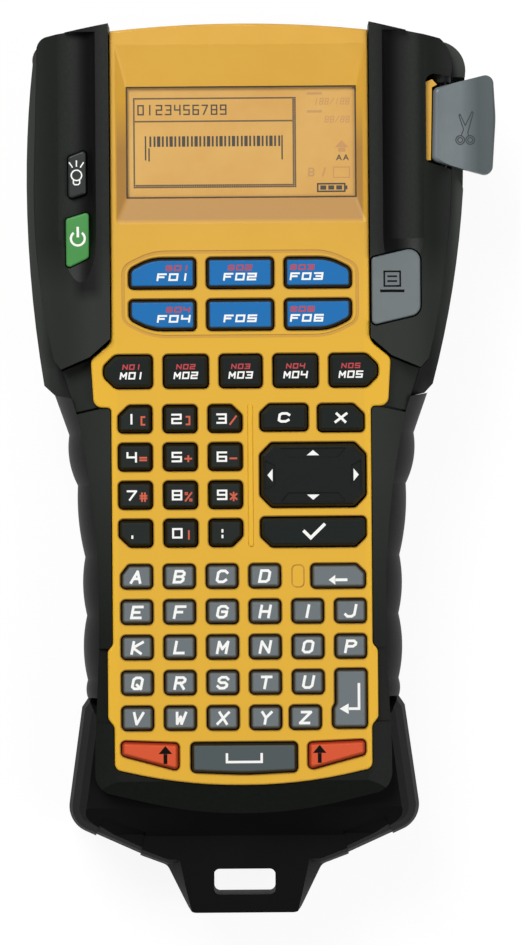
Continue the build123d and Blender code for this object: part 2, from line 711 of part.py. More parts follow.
def front_cover_space():
    """Space above the split that the front covers fill."""
    plans = panel_plan() + shoulder_plan(True) + shoulder_plan(False) + core_plan()
    return raised(offset(plans, amount=0.2), SPLIT_Z, TOP_Z)


def battery_bay():
    """Open box for the cells."""
    x = (-BAY_X - BAY_WALL, BAY_X + BAY_WALL)
    y = (BAY_Y[0] - BAY_WALL, BAY_Y[1] + BAY_WALL)
    outside = block(x, y, (GRIP_BACK_Z + WALL - 1, BAY_TOP_Z + 1.4))
    return outside - block((-BAY_X, BAY_X), BAY_Y, (0, BAY_TOP_Z))


def screw_boss(place, base, top):
    """Post of the rear case round one screw."""
    return Pos(*place, base) * Cylinder(BOSS_R, top - base, align=(Align.CENTER, Align.CENTER, Align.MIN))


def screw_hole(place, base):
    """Clearance hole and head recess of one screw."""
    shank = Pos(*place, base) * Cylinder(SCREW_R + 0.2, 100)
    return shank + Pos(*place, base) * Cylinder(SCREW_HEAD_R + 0.3, 6.0)


def battery_cover_plan():
    """Outline of the battery cover."""
    return rounded(rectangle((-COVER_X, COVER_X), COVER_Y), 5.0)


def door_plan():
    """Outline of the cassette door up from its hinge."""
    return rounded(rectangle(DOOR_X, DOOR_Y), [5.0, 5.0, 0.5, 0.5])


def rear_case():
    """Back half: head and grip shells with the bays, posts and openings."""
    case = rear_head() + rear_grip()
    head_room = raised(head_room_plan(), WIDEST_Z, WALL, SIDE_DRAFT) - back_slope(WALL + 0.4)
    grip_room = raised(offset(core_plan(), amount=-WALL), GRIP_BACK_Z + WALL, SPLIT_Z + 1)
    case -= head_room + grip_room + front_cover_space()
    top_wall = ring(head_plan(), WALL, SPLIT_Z, PANEL_SKIRT_Z - 0.2)
    case += top_wall & block((-37.2, 37.2), (112, 130), (SPLIT_Z, PANEL_SKIRT_Z))
    case += battery_bay()
    for place in HEAD_SCREWS:
        case += screw_boss(place, 1.0, CHASSIS_Z)
    for place in GRIP_SCREWS:
        case += screw_boss(place, GRIP_BACK_Z + 3, SPLIT_Z) & raised(core_plan(), 0, TOP_Z)
    case -= raised(offset(door_plan(), amount=DOOR_GAP), -1, WALL + 2)
    hinge_room = (DOOR_X[0] - DOOR_GAP, DOOR_X[1] + DOOR_GAP)
    case -= block(hinge_room, (DOOR_Y[0] - HINGE_R - 0.4, DOOR_Y[0] + 2), (-1, HINGE_Z + HINGE_R + 0.5))
    for x in (DOOR_X[0] - DOOR_GAP - 5, DOOR_X[1] + DOOR_GAP):
        case += block((x, x + 5), (DOOR_Y[0] - 3, DOOR_Y[0] + 3), (1.0, HINGE_Z + 3))
    case -= hinge_bar(DOOR_PIN_R)
    for place in HEAD_SCREWS:
        case -= screw_hole(place, 0)
    for place in GRIP_SCREWS:
        case -= screw_hole(place, GRIP_BACK_Z)
    case -= raised(offset(battery_cover_plan(), amount=DOOR_GAP), 0, GRIP_BACK_Z + WALL)
    case -= block((-BAY_X, BAY_X), BAY_Y, (0, BAY_TOP_Z))
    case -= block((TAPE_X - EXIT_SLOT[0] / 2, TAPE_X + EXIT_SLOT[0] / 2), (116, 135),
                  (EXIT_Z - EXIT_SLOT[1] / 2, EXIT_Z + EXIT_SLOT[1] / 2))
    case -= raised(make_face(Polyline(*LEVER_NOTCH_POINTS, close=True)), LEVER_NOTCH_Z, TOP_Z)
    return case - round_bar(JACK_BORE_R + 1.1, (-70, *JACK_YZ), (-50, *JACK_YZ))


def side_grip():
    """Right rubber grip: scallops turned about a line inside the handle, cut to the handle's side."""
    top, end = (GRIP_AXIS_X, GRIP_TOP[1]), (GRIP_AXIS_X, GRIP_NOTCHES[-1][1])
    outline = [Line(top, GRIP_TOP), Line(GRIP_TOP, GRIP_NOTCHES[0])]
    for (x0, y0), (x1, y1), bulge in zip(GRIP_NOTCHES, GRIP_NOTCHES[1:], GRIP_BULGES):
        outline.append(ThreePointArc((x0, y0), ((x0 + x1) / 2 + bulge, (y0 + y1) / 2), (x1, y1)))
    outline += [Line(GRIP_NOTCHES[-1], end), Line(end, top)]
    turned = revolve(Pos(0, 0, SPLIT_Z) * make_face(outline), axis=Axis((GRIP_AXIS_X, 0, SPLIT_Z), (0, 1, 0)))
    grip = turned - raised(offset(core_plan(), amount=0.02), 0, TOP_Z)
    for plan in (head_plan(), mirrored(head_plan())):
        grip -= raised(offset(plan, amount=0.02), 0, TOP_Z)
    return grip.solids().sort_by(Axis.X)[-1]


def symmetric(points):
    """Points of a right half with their left-hand twins, in one turn from the first left one."""
    return [*[(-x, y) for x, y in points], *reversed(points)]


def bumper_plan(points, radii):
    """Outline of the rubber bumper or of a piece of it, from its right half."""
    return rounded(symmetric(points), [*radii, *reversed(radii)])


def strap_lug(outline):
    """Raised middle of the bumper with sloping sides, cut to the bumper's outline."""
    low = BUMPER_EDGE_Z - BUMPER_LAP
    foot = Pos(0, 0, low) * make_face(Polyline(*symmetric(LUG_FOOT), close=True))
    top = Pos(0, 0, LUG_TOP_Z) * make_face(Polyline(*symmetric(LUG_TOP), close=True))
    return loft([foot, top], ruled=True) & raised(outline, low, LUG_TOP_Z)


def bottom_bumper():
    """Rubber end bumper: a heel at the back, a cup with a rolled edge and sunk pads, and the slotted strap lug."""
    side = make_face(Polyline(
        (-60, 46.0), (-98, 46.5), (-106.5, 39.5), (-135, 37.5), (-135, 17.0), (-113, 15.0), (-105, 6.0),
        (-101, 0), (-88, 0), (-76, 10.0), (-60, 16.0), close=True,
    ))
    outline = bumper_plan((*BUMPER_SIDE, LUG_END), (*BUMPER_RADII, LUG_ROOT_R, LUG_END_R))
    cup = raised(bumper_plan(BUMPER_SIDE, (*BUMPER_RADII, 0)), BUMPER_EDGE_Z - BUMPER_LAP, BUMPER_EDGE_Z)
    for height, draft in BUMPER_ROLL:
        cup += extrude(cup.faces().sort_by(Axis.Z)[-1], amount=height, dir=(0, 0, 1), taper=draft)
    bumper = raised(outline, 0, BUMPER_EDGE_Z) + cup + strap_lug(outline)
    bumper &= swept_x(side, -60, 60)
    pad = raised(make_face(Polyline(*BUMPER_PAD, close=True)), BUMPER_PAD_Z, TOP_Z)
    bumper -= both_sides(pad - Pos(*BUMPER_PAD_SINK) * bumper)
    bumper -= raised(offset(core_plan(), amount=0.02), GRIP_BACK_Z, TOP_Z)
    bumper -= block((-42.4, 42.4), (-88.0, -60), (-1, GRIP_BACK_Z + 1))
    bumper -= raised(Pos(0, STRAP_Y) * RectangleRounded(*STRAP_SLOT, STRAP_SLOT_R), -1, TOP_Z)
    return bumper


# Back covers, cells and contacts


def cassette_door():
    """Rear door with a full-length hinge barrel and a finger notch."""
    door = raised(door_plan(), *DOOR_Z)
    back_edges = door.faces().sort_by(Axis.Z)[0].edges()
    door = fillet(back_edges.filter_by(lambda e: e.center().Y > DOOR_Y[0] + 5), 0.6)
    door += round_bar(HINGE_R, (DOOR_X[0], DOOR_Y[0], HINGE_Z), (DOOR_X[1], DOOR_Y[0], HINGE_Z))
    for x in (-30.0, -15.0, 0.0, 15.0, 30.0):
        door -= Pos(x, 84, DOOR_Z[0]) * Box(6.0, 44.0, 1.0)
    door -= Pos(0, DOOR_Y[1], DOOR_Z[0]) * Cylinder(9.0, 2.4)
    return door - hinge_bar(DOOR_PIN_R + RUNNING_GAP)


def hinge_bar(radius):
    """Bar on the cassette door's axis, with its ends in the case's lugs."""
    return round_bar(radius, (DOOR_X[0] - 4, DOOR_Y[0], HINGE_Z), (DOOR_X[1] + 4, DOOR_Y[0], HINGE_Z))


def battery_cover():
    """Lift-off cover with grip ridges."""
    cover = raised(battery_cover_plan(), GRIP_BACK_Z, GRIP_BACK_Z + WALL - 0.1)
    cover = fillet(cover.faces().sort_by(Axis.Z)[0].edges(), 0.6)
    for step in range(6):
        cover -= Pos(0, 2.0 + 2.6 * step, GRIP_BACK_Z) * Box(24.0 - 2.4 * step, 1.1, 1.2)
    return cover


def battery_cells():
    """Six cells in two ranks, each with its positive cap."""
    cells = []
    for rank in (0, 1):
        for column in (-1, 0, 1):
            low = BAY_Y[0] + 2.0 + rank * (CELL_LENGTH + 0.4)
            centre = (column * CELL_PITCH, low, GRIP_BACK_Z + WALL + 0.5 + CELL_R)
            end = (centre[0], low + CELL_LENGTH - 1.2, centre[2])
            cap_end = (centre[0], low + CELL_LENGTH, centre[2])
            can = round_bar(CELL_R, centre, end)
            cells.append(fillet(can.edges(), 0.5) + round_bar(2.7, end, cap_end))
    return Compound(cells)


def battery_contacts():
    """Spring contact plates at both ends of the bay."""
    plates = []
    for low in (BAY_Y[0] + 0.3, BAY_Y[1] - 0.9):
        for column in (-1, 0, 1):
            x = column * CELL_PITCH
            plates.append(block((x - 5.5, x + 5.5), (low, low + 0.5), (17.0, 29.0)))
    return Compound(plates)


def power_jack():
    """Round power inlet with a centre pin."""
    y, z = JACK_YZ
    body = block((JACK_FACE_X + 3.2, JACK_FACE_X + 13), (y - 5.5, y + 5.5), (z - 5.5, z + 5.5))
    body += round_bar(JACK_BORE_R + 0.9, (JACK_FACE_X, y, z), (JACK_FACE_X + 4, y, z))
    body -= round_bar(JACK_BORE_R, (JACK_FACE_X - 1, y, z), (JACK_FACE_X + JACK_DEPTH, y, z))
    return body + round_bar(JACK_PIN_R, (JACK_FACE_X + 1, y, z), (JACK_FACE_X + JACK_DEPTH + 0.5, y, z))


def case_screws():
    """Six identical screws, heads at the back."""
    screws = []
    for place, base in [(p, 0.0) for p in HEAD_SCREWS] + [(p, GRIP_BACK_Z) for p in GRIP_SCREWS]:
        shank = round_bar(SCREW_R, (*place, base + 3.0), (*place, SCREW_TIP_Z))
        head = round_bar(SCREW_HEAD_R, (*place, base + 1.2), (*place, base + 3.0))
        drive = Pos(*place, base + 1.2) * (Box(3.0, 0.6, 1.6) + Box(0.6, 3.0, 1.6))
        screws.append(shank + head - drive)
    return Compound(screws)


# Feed drive and cassette


def drive_places():
    """Axes of the platen roller, idler gear and motor pinion."""
    first = GEAR_MODULE * (PLATEN_TEETH + IDLER_TEETH) / 2
    second = GEAR_MODULE * (IDLER_TEETH + PINION_TEETH) / 2
    idler = (PLATEN_XY[0] + IDLER_LEAN, PLATEN_XY[1] - math.sqrt(first ** 2 - IDLER_LEAN ** 2))
    pinion = (idler[0] + PINION_LEAN, idler[1] - math.sqrt(second ** 2 - PINION_LEAN ** 2))
    return PLATEN_XY, idler, pinion


def gear(teeth, turn):
    """Involute spur gear with short teeth and backlash; one tooth points along turn degrees."""
    pitch_r = GEAR_MODULE * teeth / 2
    base_r = pitch_r * math.cos(math.radians(PRESSURE_ANGLE))
    tip_r = pitch_r + 0.8 * GEAR_MODULE
    root_r = pitch_r - 1.05 * GEAR_MODULE

    def roll(radius):
        ratio = max(radius / base_r, 1.0)
        return math.sqrt(ratio ** 2 - 1) - math.acos(1 / ratio)

    half_tooth = (math.pi * GEAR_MODULE / 2 - BACKLASH) / 2 / pitch_r + roll(pitch_r)
    radii = [root_r] + [max(base_r, root_r) + (tip_r - max(base_r, root_r)) * k / 3 for k in range(4)]
    points = []
    for tooth in range(teeth):
        middle = math.radians(turn) + 2 * math.pi * tooth / teeth
        flank = [(radius, half_tooth - roll(radius)) for radius in radii]
        sides = [(radius, middle - angle) for radius, angle in flank]
        sides += [(radius, middle + angle) for radius, angle in reversed(flank)]
        points += [(radius * math.cos(angle), radius * math.sin(angle)) for radius, angle in sides]
    return raised(make_face(Polyline(*points, close=True)), *GEAR_Z)


def mesh_turns():
    """Turns that put the three gears in mesh: a tooth of one faces a gap of the next."""
    platen, idler, pinion = drive_places()
    up = math.degrees(math.atan2(platen[1] - idler[1], platen[0] - idler[0]))
    down = math.degrees(math.atan2(pinion[1] - idler[1], pinion[0] - idler[0]))
    pitch = 360 / IDLER_TEETH
    phase = ((down - up) / pitch) % 1
    platen_turn = up + 180 + 180 / PLATEN_TEETH
    pinion_turn = down + 180 + (180 + 360 * phase) / PINION_TEETH
    return platen_turn, up, pinion_turn


def platen_roller():
    """Rubber feed roller on its shaft with the gear above the chassis."""
    x, y = PLATEN_XY
    roller = round_bar(PLATEN_R, (x, y, 6.0), (x, y, 30.5)) + round_bar(SHAFT_R, (x, y, 4.5), (x, y, 39.5))
    return roller + Pos(x, y) * gear(PLATEN_TEETH, mesh_turns()[0])


def idler_gear():
    """Gear that turns on the chassis post."""
    x, y = drive_places()[1]
    bore = round_bar(SHAFT_R + RUNNING_GAP, (x, y, 30), (x, y, 45))
    return Pos(x, y) * gear(IDLER_TEETH, mesh_turns()[1]) - bore


def motor_pinion():
    """Pinion on the motor's shaft."""
    x, y = drive_places()[2]
    return Pos(x, y) * gear(PINION_TEETH, mesh_turns()[2]) + round_bar(1.0, (x, y, 27.0), (x, y, 39.5))


def drive_motor():
    """Small can motor under the chassis."""
    x, y = drive_places()[2]
    can = round_bar(8.0, (x, y, 9.0), (x, y, 30.0))
    can = fillet(can.edges(), 0.8) + round_bar(3.0, (x, y, 30.0), (x, y, CHASSIS_Z + 2.2))
    return can - round_bar(1.0 + RUNNING_GAP, (x, y, 26.5), (x, y, 45))


def mechanism_chassis():
    """Plate clamped by the head screws that carries the drive, the cutter's guide and the print head."""
    corners = ((55.5, 42.5), (55.5, 112.0), (50.5, 120.0), (-48.0, 120.0), (-55.0, 113.5), (-55.0, 42.5))
    plate = raised(rounded(corners, 1.0), CHASSIS_Z, SPLIT_Z)
    platen, idler, pinion = drive_places()
    plate -= round_bar(SHAFT_R + RUNNING_GAP, (*platen, 30), (*platen, 40))
    plate -= round_bar(3.0, (*pinion, 30), (*pinion, 40))
    plate -= block((BLADE_X[0] - 8, 60), (ARM_Y[0] - 0.8, ARM_Y[1] + 0.8), (30, 40))
    for place in HEAD_SCREWS:
        plate -= Pos(*place, CHASSIS_Z) * Cylinder(SCREW_R + 0.2, 10)
    for side in (-1, 1):
        low = BLADE_Y[0] - 1.4 if side < 0 else BLADE_Y[1] + 0.2
        plate += block((42.0, 49.0), (low, low + 1.2), (20.0, CHASSIS_Z)) + block(
            (42.0, 49.0), (low - 0.6, low + 1.8), (CHASSIS_Z, SPLIT_Z))
    return plate + round_bar(SHAFT_R, (*idler, CHASSIS_Z), (*idler, 39.5))


def print_head():
    """Thermal head on its finned carrier, hung from the chassis."""
    head = block((36.0, TAPE_X - 0.3), (86.5, 101.0), (6.5, CHASSIS_Z))
    for step in range(5):
        head -= block((35.0, 37.4), (88.0 + 2.6 * step, 89.2 + 2.6 * step), (6.0, 27.0))
    return head


def label_cassette():
    """Cassette case with a hub for the roll and a mouth for the tape."""
    x, y = ROLL_XY
    case = block(CASSETTE_X, CASSETTE_Y, CASSETTE_Z)
    case = fillet(case.edges().filter_by(Axis.Z), 4.0)
    inner = block((CASSETTE_X[0] + 1.6, CASSETTE_X[1] - 1.6), (CASSETTE_Y[0] + 1.6, CASSETTE_Y[1] - 1.6),
                  (CASSETTE_Z[0] + 1.4, CASSETTE_Z[1] - 1.4))
    case -= fillet(inner.edges().filter_by(Axis.Z), 2.4)
    case -= block((CASSETTE_X[1] - 3, CASSETTE_X[1] + 1), (101.0, 106.0), (7.0, 28.0))
    return case + round_bar(HUB_R - RUNNING_GAP, (x, y, CASSETTE_Z[0] + 1), (x, y, CASSETTE_Z[1] - 1))


def label_tape_roll():
    """Roll of label tape on its core."""
    x, y = ROLL_XY
    roll = round_bar(ROLL_R, (x, y, 8.0), (x, y, 27.0)) + round_bar(HUB_R + 1.5, (x, y, 6.8), (x, y, 28.2))
    return roll - round_bar(HUB_R, (x, y, 0), (x, y, 40))


# Cutter


def pivot_bar(radius):
    """Bar on the cutter lever's axis, with its ends in the right cover."""
    return round_bar(radius, (PIVOT_X, PIVOT_Y[0], PIVOT_Z), (PIVOT_X, PIVOT_Y[1], PIVOT_Z))


def lever_pocket_plan():
    """Outline of the cutter lever's pocket, open at the outer side."""
    return rounded(LEVER_POCKET_POINTS, LEVER_POCKET_RADII)


def cutter_lever():
    """Dished paddle on its barrel, with the arm that drives the blade."""
    paddle = raised(rounded(LEVER_POINTS, LEVER_RADII), *LEVER_Z)
    paddle = fillet(paddle.faces().sort_by(Axis.Z)[-1].edges(), LEVER_EDGE_R)
    dish_z = LEVER_Z[1] - DISH_DEPTH + DISH_R
    paddle -= round_bar(DISH_R, (66.0, 70, dish_z), (66.0, 125, dish_z))
    paddle -= round_bar(SPRING_ROOM_R, (PIVOT_X, PIVOT_Y[0], PIVOT_Z), (PIVOT_X, BARREL_Y[0], PIVOT_Z))
    barrel = round_bar(BARREL_R, (PIVOT_X, BARREL_Y[0], PIVOT_Z), (PIVOT_X, BARREL_Y[1], PIVOT_Z))
    web = block((PIVOT_X - 1.5, PIVOT_X + 1.5), BARREL_Y, (PIVOT_Z, LEVER_Z[0] + 1))
    arm = block((PIVOT_X - 1.5, PIVOT_X + 1.5), ARM_Y, (ARM_FOOT_Z, PIVOT_Z))
    return paddle + barrel + web + arm - pivot_bar(PIVOT_R + RUNNING_GAP)


def cutter_blade():
    """Guillotine blade with a bevelled edge towards the tape."""
    blade = block(BLADE_X, BLADE_Y, BLADE_Z)
    edge = blade.edges().filter_by(Axis.Z).sort_by(lambda e: e.center().X + e.center().Y)[0]
    return chamfer(edge, 0.9)


def helix_arcs(radius, pitch, turns):
    """Helix about Y as tangent pairs of arcs, two pairs to a turn."""
    steps = 4 * turns
    stations = []
    for k in range(steps + 1):
        angle = math.pi / 2 * k
        point = Vector(radius * math.cos(angle), pitch * k / 4, radius * math.sin(angle))
        tangent = Vector(-radius * math.sin(angle), pitch / (2 * math.pi), radius * math.cos(angle))
        stations.append((point, tangent.normalized()))
    edges = []
    for (p0, t0), (p1, t1) in zip(stations, stations[1:]):
        chord, both, bend = p1 - p0, t0 + t1, 1 - t0.dot(t1)
        reach = chord.dot(both)
        arm = (math.sqrt(reach ** 2 + 2 * bend * chord.dot(chord)) - reach) / (2 * bend)
        first, last = p0 + t0 * arm, p1 - t1 * arm
        joint = (first + last) * 0.5
        edges += [TangentArc(p0, joint, tangent=t0), TangentArc(joint, p1, tangent=last - first)]
    return Wire(edges)


def lever_return_spring():
    """Torsion spring wound round the pivot pin beside the lever's barrel."""
    path = helix_arcs(2.2, 1.1, 3)
    wire = sweep(Plane(origin=path @ 0, z_dir=path % 0) * Circle(0.25), path=path)
    return Pos(PIVOT_X, SPRING_Y, PIVOT_Z) * wire


# Electronics


def display_window():
    """Clear window behind the panel's display opening."""
    return block((WINDOW_X[0] - 0.8, WINDOW_X[1] + 0.8), (WINDOW_Y[0] - 0.8, WINDOW_Y[1] + 0.8), WINDOW_Z)


def lcd_module():
    """Display glass in its frame."""
    x = (WINDOW_X[0] - 1.4, WINDOW_X[1] + 1.4)
    y = (WINDOW_Y[0] - 3.0, WINDOW_Y[1] + 3.0)
    return block(x, y, (LCD_Z[0], BEZEL_BACK_Z - 0.1)) + block(
        (WINDOW_X[0] - 0.6, WINDOW_X[1] + 0.6), (WINDOW_Y[0] - 0.6, WINDOW_Y[1] + 0.6), LCD_Z)


def main_circuit_board():
    """Board under the keypad with its chips on the back."""
    board = block((-35.0, 35.0), (-85.0, 66.0), BOARD_Z)
    for x, y, width, length in ((-14, 30, 16, 16), (12, 34, 12, 9), (18, 0, 9, 14), (-18, -30, 12, 8)):
        board += Pos(x, y, BOARD_Z[0] - 0.9) * Box(width, length, 2.0)
    return board


def keypad_mat():
    """Rubber sheet on the board with a hole for each key's stem and a well for the rocking pad."""
    mat = block((-35.2, 35.2), (-85.0, 64.0), MAT_Z)
    mat -= [raised(offset(plan, amount=0.3 - KEY_STEM_INSET), 40, 60) for plan in stem_key_plans()]
    well = offset(control_key_plans()["navigation_pad"], amount=KEY_LIP + 0.4)
    return mat - raised(well, 40, 60)


def nodes():
    """Every sub-part by its name."""
    controls = control_key_plans()
    parts = {
        "front_panel": front_panel(),
        "left_shoulder_cover": left_shoulder_cover(),
        "right_shoulder_cover": right_shoulder_cover(),
        "lower_frame": lower_frame(),
        "rear_case": rear_case(),
        "right_side_grip": side_grip(),
        "left_side_grip": mirrored(side_grip()),
        "bottom_bumper": bottom_bumper(),
        "cassette_door": cassette_door(),
        "door_hinge_pin": hinge_bar(DOOR_PIN_R),
        "battery_cover": battery_cover(),
        "display_window": display_window(),
        "lcd_module": lcd_module(),
        "main_circuit_board": main_circuit_board(),
        "keypad_mat": keypad_mat(),
        "power_jack": power_jack(),
        "battery_cells": battery_cells(),
        "battery_contacts": battery_contacts(),
        "mechanism_chassis": mechanism_chassis(),
        "print_head": print_head(),
        "platen_roller": platen_roller(),
        "idler_gear": idler_gear(),
        "drive_motor": drive_motor(),
        "motor_pinion": motor_pinion(),
        "label_cassette": label_cassette(),
        "label_tape_roll": label_tape_roll(),
        "cutter_lever": cutter_lever(),
        "cutter_pivot_pin": pivot_bar(PIVOT_R),
        "lever_return_spring": lever_return_spring(),
        "cutter_blade": cutter_blade(),
        "case_screws": case_screws(),
        "function_keys": key_group(function_key_plans()),
        "navigation_pad": navigation_pad(),
        "navigation_pivot": navigation_pivot(),
        "backlight_button": left_button(BACKLIGHT_POINTS),
        "power_button": left_button(POWER_POINTS),
        "print_button": print_button(),
    }
    for index, plan in enumerate(hot_key_plans(), start=1):
        parts[f"hot_key_{index}"] = key_solid(plan)
    for name, plan in controls.items():
        if name != "navigation_pad":
            parts[name] = key_solid(plan)
    for row in range(4):
        parts[f"number_row_{row + 1}"] = key_group(number_row_plans(row))
    for row in range(len(LETTER_COUNTS)):
        parts[f"letter_row_{row + 1}"] = key_group(letter_row_plans(row))
    return parts


def main():
    """Write one file per sub-part, with the origin at the middle of the rest bar."""
    os.makedirs("parts", exist_ok=True)
    for name, shape in nodes().items():
        placed = [Pos(0, -REST_Y, 0) * solid for solid in shape.solids()]
        export_step(placed[0] if len(placed) == 1 else Compound(placed), f"parts/{name}.step")


if __name__ == "__main__":
    main()
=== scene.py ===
"""Looks of a handheld label maker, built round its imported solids."""
import logging
import math
from dataclasses import dataclass, field
from enum import Enum

import bmesh
import bpy
from mathutils import Matrix, Vector


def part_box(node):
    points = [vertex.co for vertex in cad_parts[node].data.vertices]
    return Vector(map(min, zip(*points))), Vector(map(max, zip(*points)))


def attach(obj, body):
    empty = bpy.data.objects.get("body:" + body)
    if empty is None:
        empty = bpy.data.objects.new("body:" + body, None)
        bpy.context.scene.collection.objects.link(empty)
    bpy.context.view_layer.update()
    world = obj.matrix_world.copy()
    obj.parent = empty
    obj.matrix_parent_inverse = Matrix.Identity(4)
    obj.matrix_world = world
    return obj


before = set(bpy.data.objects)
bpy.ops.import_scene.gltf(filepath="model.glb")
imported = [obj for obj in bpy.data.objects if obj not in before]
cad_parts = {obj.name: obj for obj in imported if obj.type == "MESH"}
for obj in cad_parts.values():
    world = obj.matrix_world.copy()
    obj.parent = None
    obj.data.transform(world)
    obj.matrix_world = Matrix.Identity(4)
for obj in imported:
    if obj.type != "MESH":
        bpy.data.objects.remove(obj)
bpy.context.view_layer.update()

MM = 0.001
REST_Y = 44.0
KEY_TOP = 55.7
FACE = 54.0
LOG = logging.getLogger("label_maker")
Socket = float | tuple[float, ...] | bpy.types.NodeSocket
Spot = tuple[float, float]
Place = tuple[float, float, float]
EVERYWHERE = 1000.0

# Strokes of plain characters on a grid 4 wide and 6 high, as column and row of each corner.
# A stroke that ends on its first corner is closed.
GLYPHS: dict[str, tuple[str, ...]] = {
    "A": ("00 26 40", "12 32"), "B": ("00 06 36 45 44 33 42 41 30 00", "03 33"),
    "C": ("45 36 16 05 01 10 30 41",), "D": ("00 06 36 45 41 30 00",), "E": ("40 00 06 46", "03 33"),
    "F": ("00 06 46", "03 33"), "G": ("45 36 16 05 01 10 30 41 43 23",), "H": ("00 06", "40 46", "03 43"),
    "I": ("20 26",), "J": ("46 41 30 10 01",), "K": ("00 06", "46 03 40"), "L": ("06 00 40",),
    "M": ("00 06 22 46 40",), "N": ("00 06 40 46",), "O": ("10 30 41 45 36 16 05 01 10",),
    "P": ("00 06", "06 36 45 44 33 03"), "Q": ("10 30 41 45 36 16 05 01 10", "22 40"),
    "R": ("00 06", "06 36 45 44 33 03", "23 40"), "S": ("45 36 16 05 04 13 33 42 41 30 10 01",),
    "T": ("06 46", "20 26"), "U": ("06 01 10 30 41 46",), "V": ("06 20 46",), "W": ("06 10 24 30 46",),
    "X": ("00 46", "06 40"), "Y": ("06 23 46", "23 20"), "Z": ("06 46 00 40",),
    "0": ("00 40 46 06 00",), "1": ("20 26",), "2": ("06 46 43 03 00 40",), "3": ("06 46 40 00", "13 43"),
    "4": ("06 03 43", "46 40"), "5": ("46 06 03 43 40 00",), "6": ("46 06 00 40", "40 43 03"),
    "7": ("06 46 10",), "8": ("00 40 46 06 00", "03 43"), "9": ("03 43", "03 06 46 40 00"),
    "[": ("36 16 10 30",), "]": ("16 36 30 10",),
    "/": ("00 46",), "=": ("02 42", "04 44"), "+": ("03 43", "21 25"), "-": ("03 43",), "|": ("20 26",),
    "#": ("10 16", "30 36", "02 42", "04 44"), "%": ("00 46", "05 06 16 15 05", "30 31 41 40 30"),
    "*": ("20 26", "01 45", "05 41"), ".": ("20 21",), ":": ("20 21", "24 25"),
}
GRID = (4, 6)
# Corners sharper than this cosine of half the turn are cut off, not mitred
SHARP = 0.62
# Crossing strokes lie at slightly different heights, in millimetres
STROKE_STEP = 0.006
# Angle of one piece of a ring, in degrees
RING_STEP = 12
# Values that every finish shares: length of brush marks against their width, spread of the roughness,
# part of the noise that makes the mottling, and strength of the relief
BRUSHED_SCALE = (1.0, 0.06, 1.0)
GLOSS_SPREAD = 0.07
MOTTLE_RANGE = (0.35, 0.68)
RELIEF = 0.6


def at(x: float, y: float, z: float) -> Vector:
    """Point of the drawing, in millimetres from the middle of the length, in the row frame."""
    return Vector((x, y - REST_Y, z)) * MM


def linear(code: str) -> tuple[float, float, float, float]:
    """Turn an sRGB hex code into a linear colour.

    Args:
        code: colour such as "#dfad3c".

    Returns:
        Red, green, blue and alpha for a shader socket.
    """
    channels = [int(code[i:i + 2], 16) / 255 for i in (1, 3, 5)]
    return (*[c / 12.92 if c <= 0.04045 else ((c + 0.055) / 1.055) ** 2.4 for c in channels], 1.0)


def node(tree: bpy.types.NodeTree, kind: str, links: dict[str | int, Socket] | None = None,
         **settings: object) -> bpy.types.Node:
    """Add one shader node.

    Args:
        tree: node tree that takes it.
        kind: node type without its prefix.
        links: socket name or index to a value or an output socket.
        settings: properties of the node.

    Returns:
        The new node.
    """
    made = tree.nodes.new("ShaderNode" + kind)
    for name, value in settings.items():
        setattr(made, name, value)
    for name, value in (links or {}).items():
        if isinstance(value, bpy.types.NodeSocket):
            tree.links.new(value, made.inputs[name])
        else:
            made.inputs[name].default_value = value
    return made


class Grain(Enum):
    """How a surface was made, which sets its fine pattern."""

    MOULDED = "moulded"
    BRUSHED = "brushed"


@dataclass(frozen=True)
class Zone:
    """Part of a surface with a colour of its own, or with painted shade or highlight, by its place in the
    drawing.

    Attributes:
        colour: sRGB colour inside.
        x: limits of the distance from the middle plane, in millimetres.
        y: limits along the length.
        z: limits of the height.
        blur: width of the soft edges in the same three directions.
    """

    colour: str
    x: Spot = (-EVERYWHERE, EVERYWHERE)
    y: Spot = (-EVERYWHERE, EVERYWHERE)
    z: Spot = (-EVERYWHERE, EVERYWHERE)
    blur: Place = (0.2, 0.2, 0.2)

    def factor(self, tree: bpy.types.NodeTree) -> bpy.types.NodeSocket:
        """Add the nodes that tell how far a point lies inside.

        Args:
            tree: node tree that takes them.

        Returns:
            Output that is 1 inside and 0 outside.
        """
        place = node(tree, "SeparateXYZ", {"Vector": node(tree, "TexCoord").outputs["Object"]})
        aside = node(tree, "Math", {0: place.outputs["X"]}, operation="ABSOLUTE").outputs[0]
        places = (aside, place.outputs["Y"], place.outputs["Z"])
        ranges, shifts = (self.x, self.y, self.z), (0.0, REST_Y, 0.0)
        inside = None
        for value, limits, shift, blur in zip(places, ranges, shifts, self.blur):
            for limit, way in zip(limits, (1, -1)):
                if abs(limit) < EVERYWHERE:
                    edges = {"From Min": (limit - shift - way * blur / 2) * MM,
                             "From Max": (limit - shift + way * blur / 2) * MM}
                    step = node(tree, "MapRange", {"Value": value, **edges}).outputs["Result"]
                    both = {0: inside, 1: step}
                    inside = node(tree, "Math", both, operation="MULTIPLY").outputs[0] if inside else step
        return inside


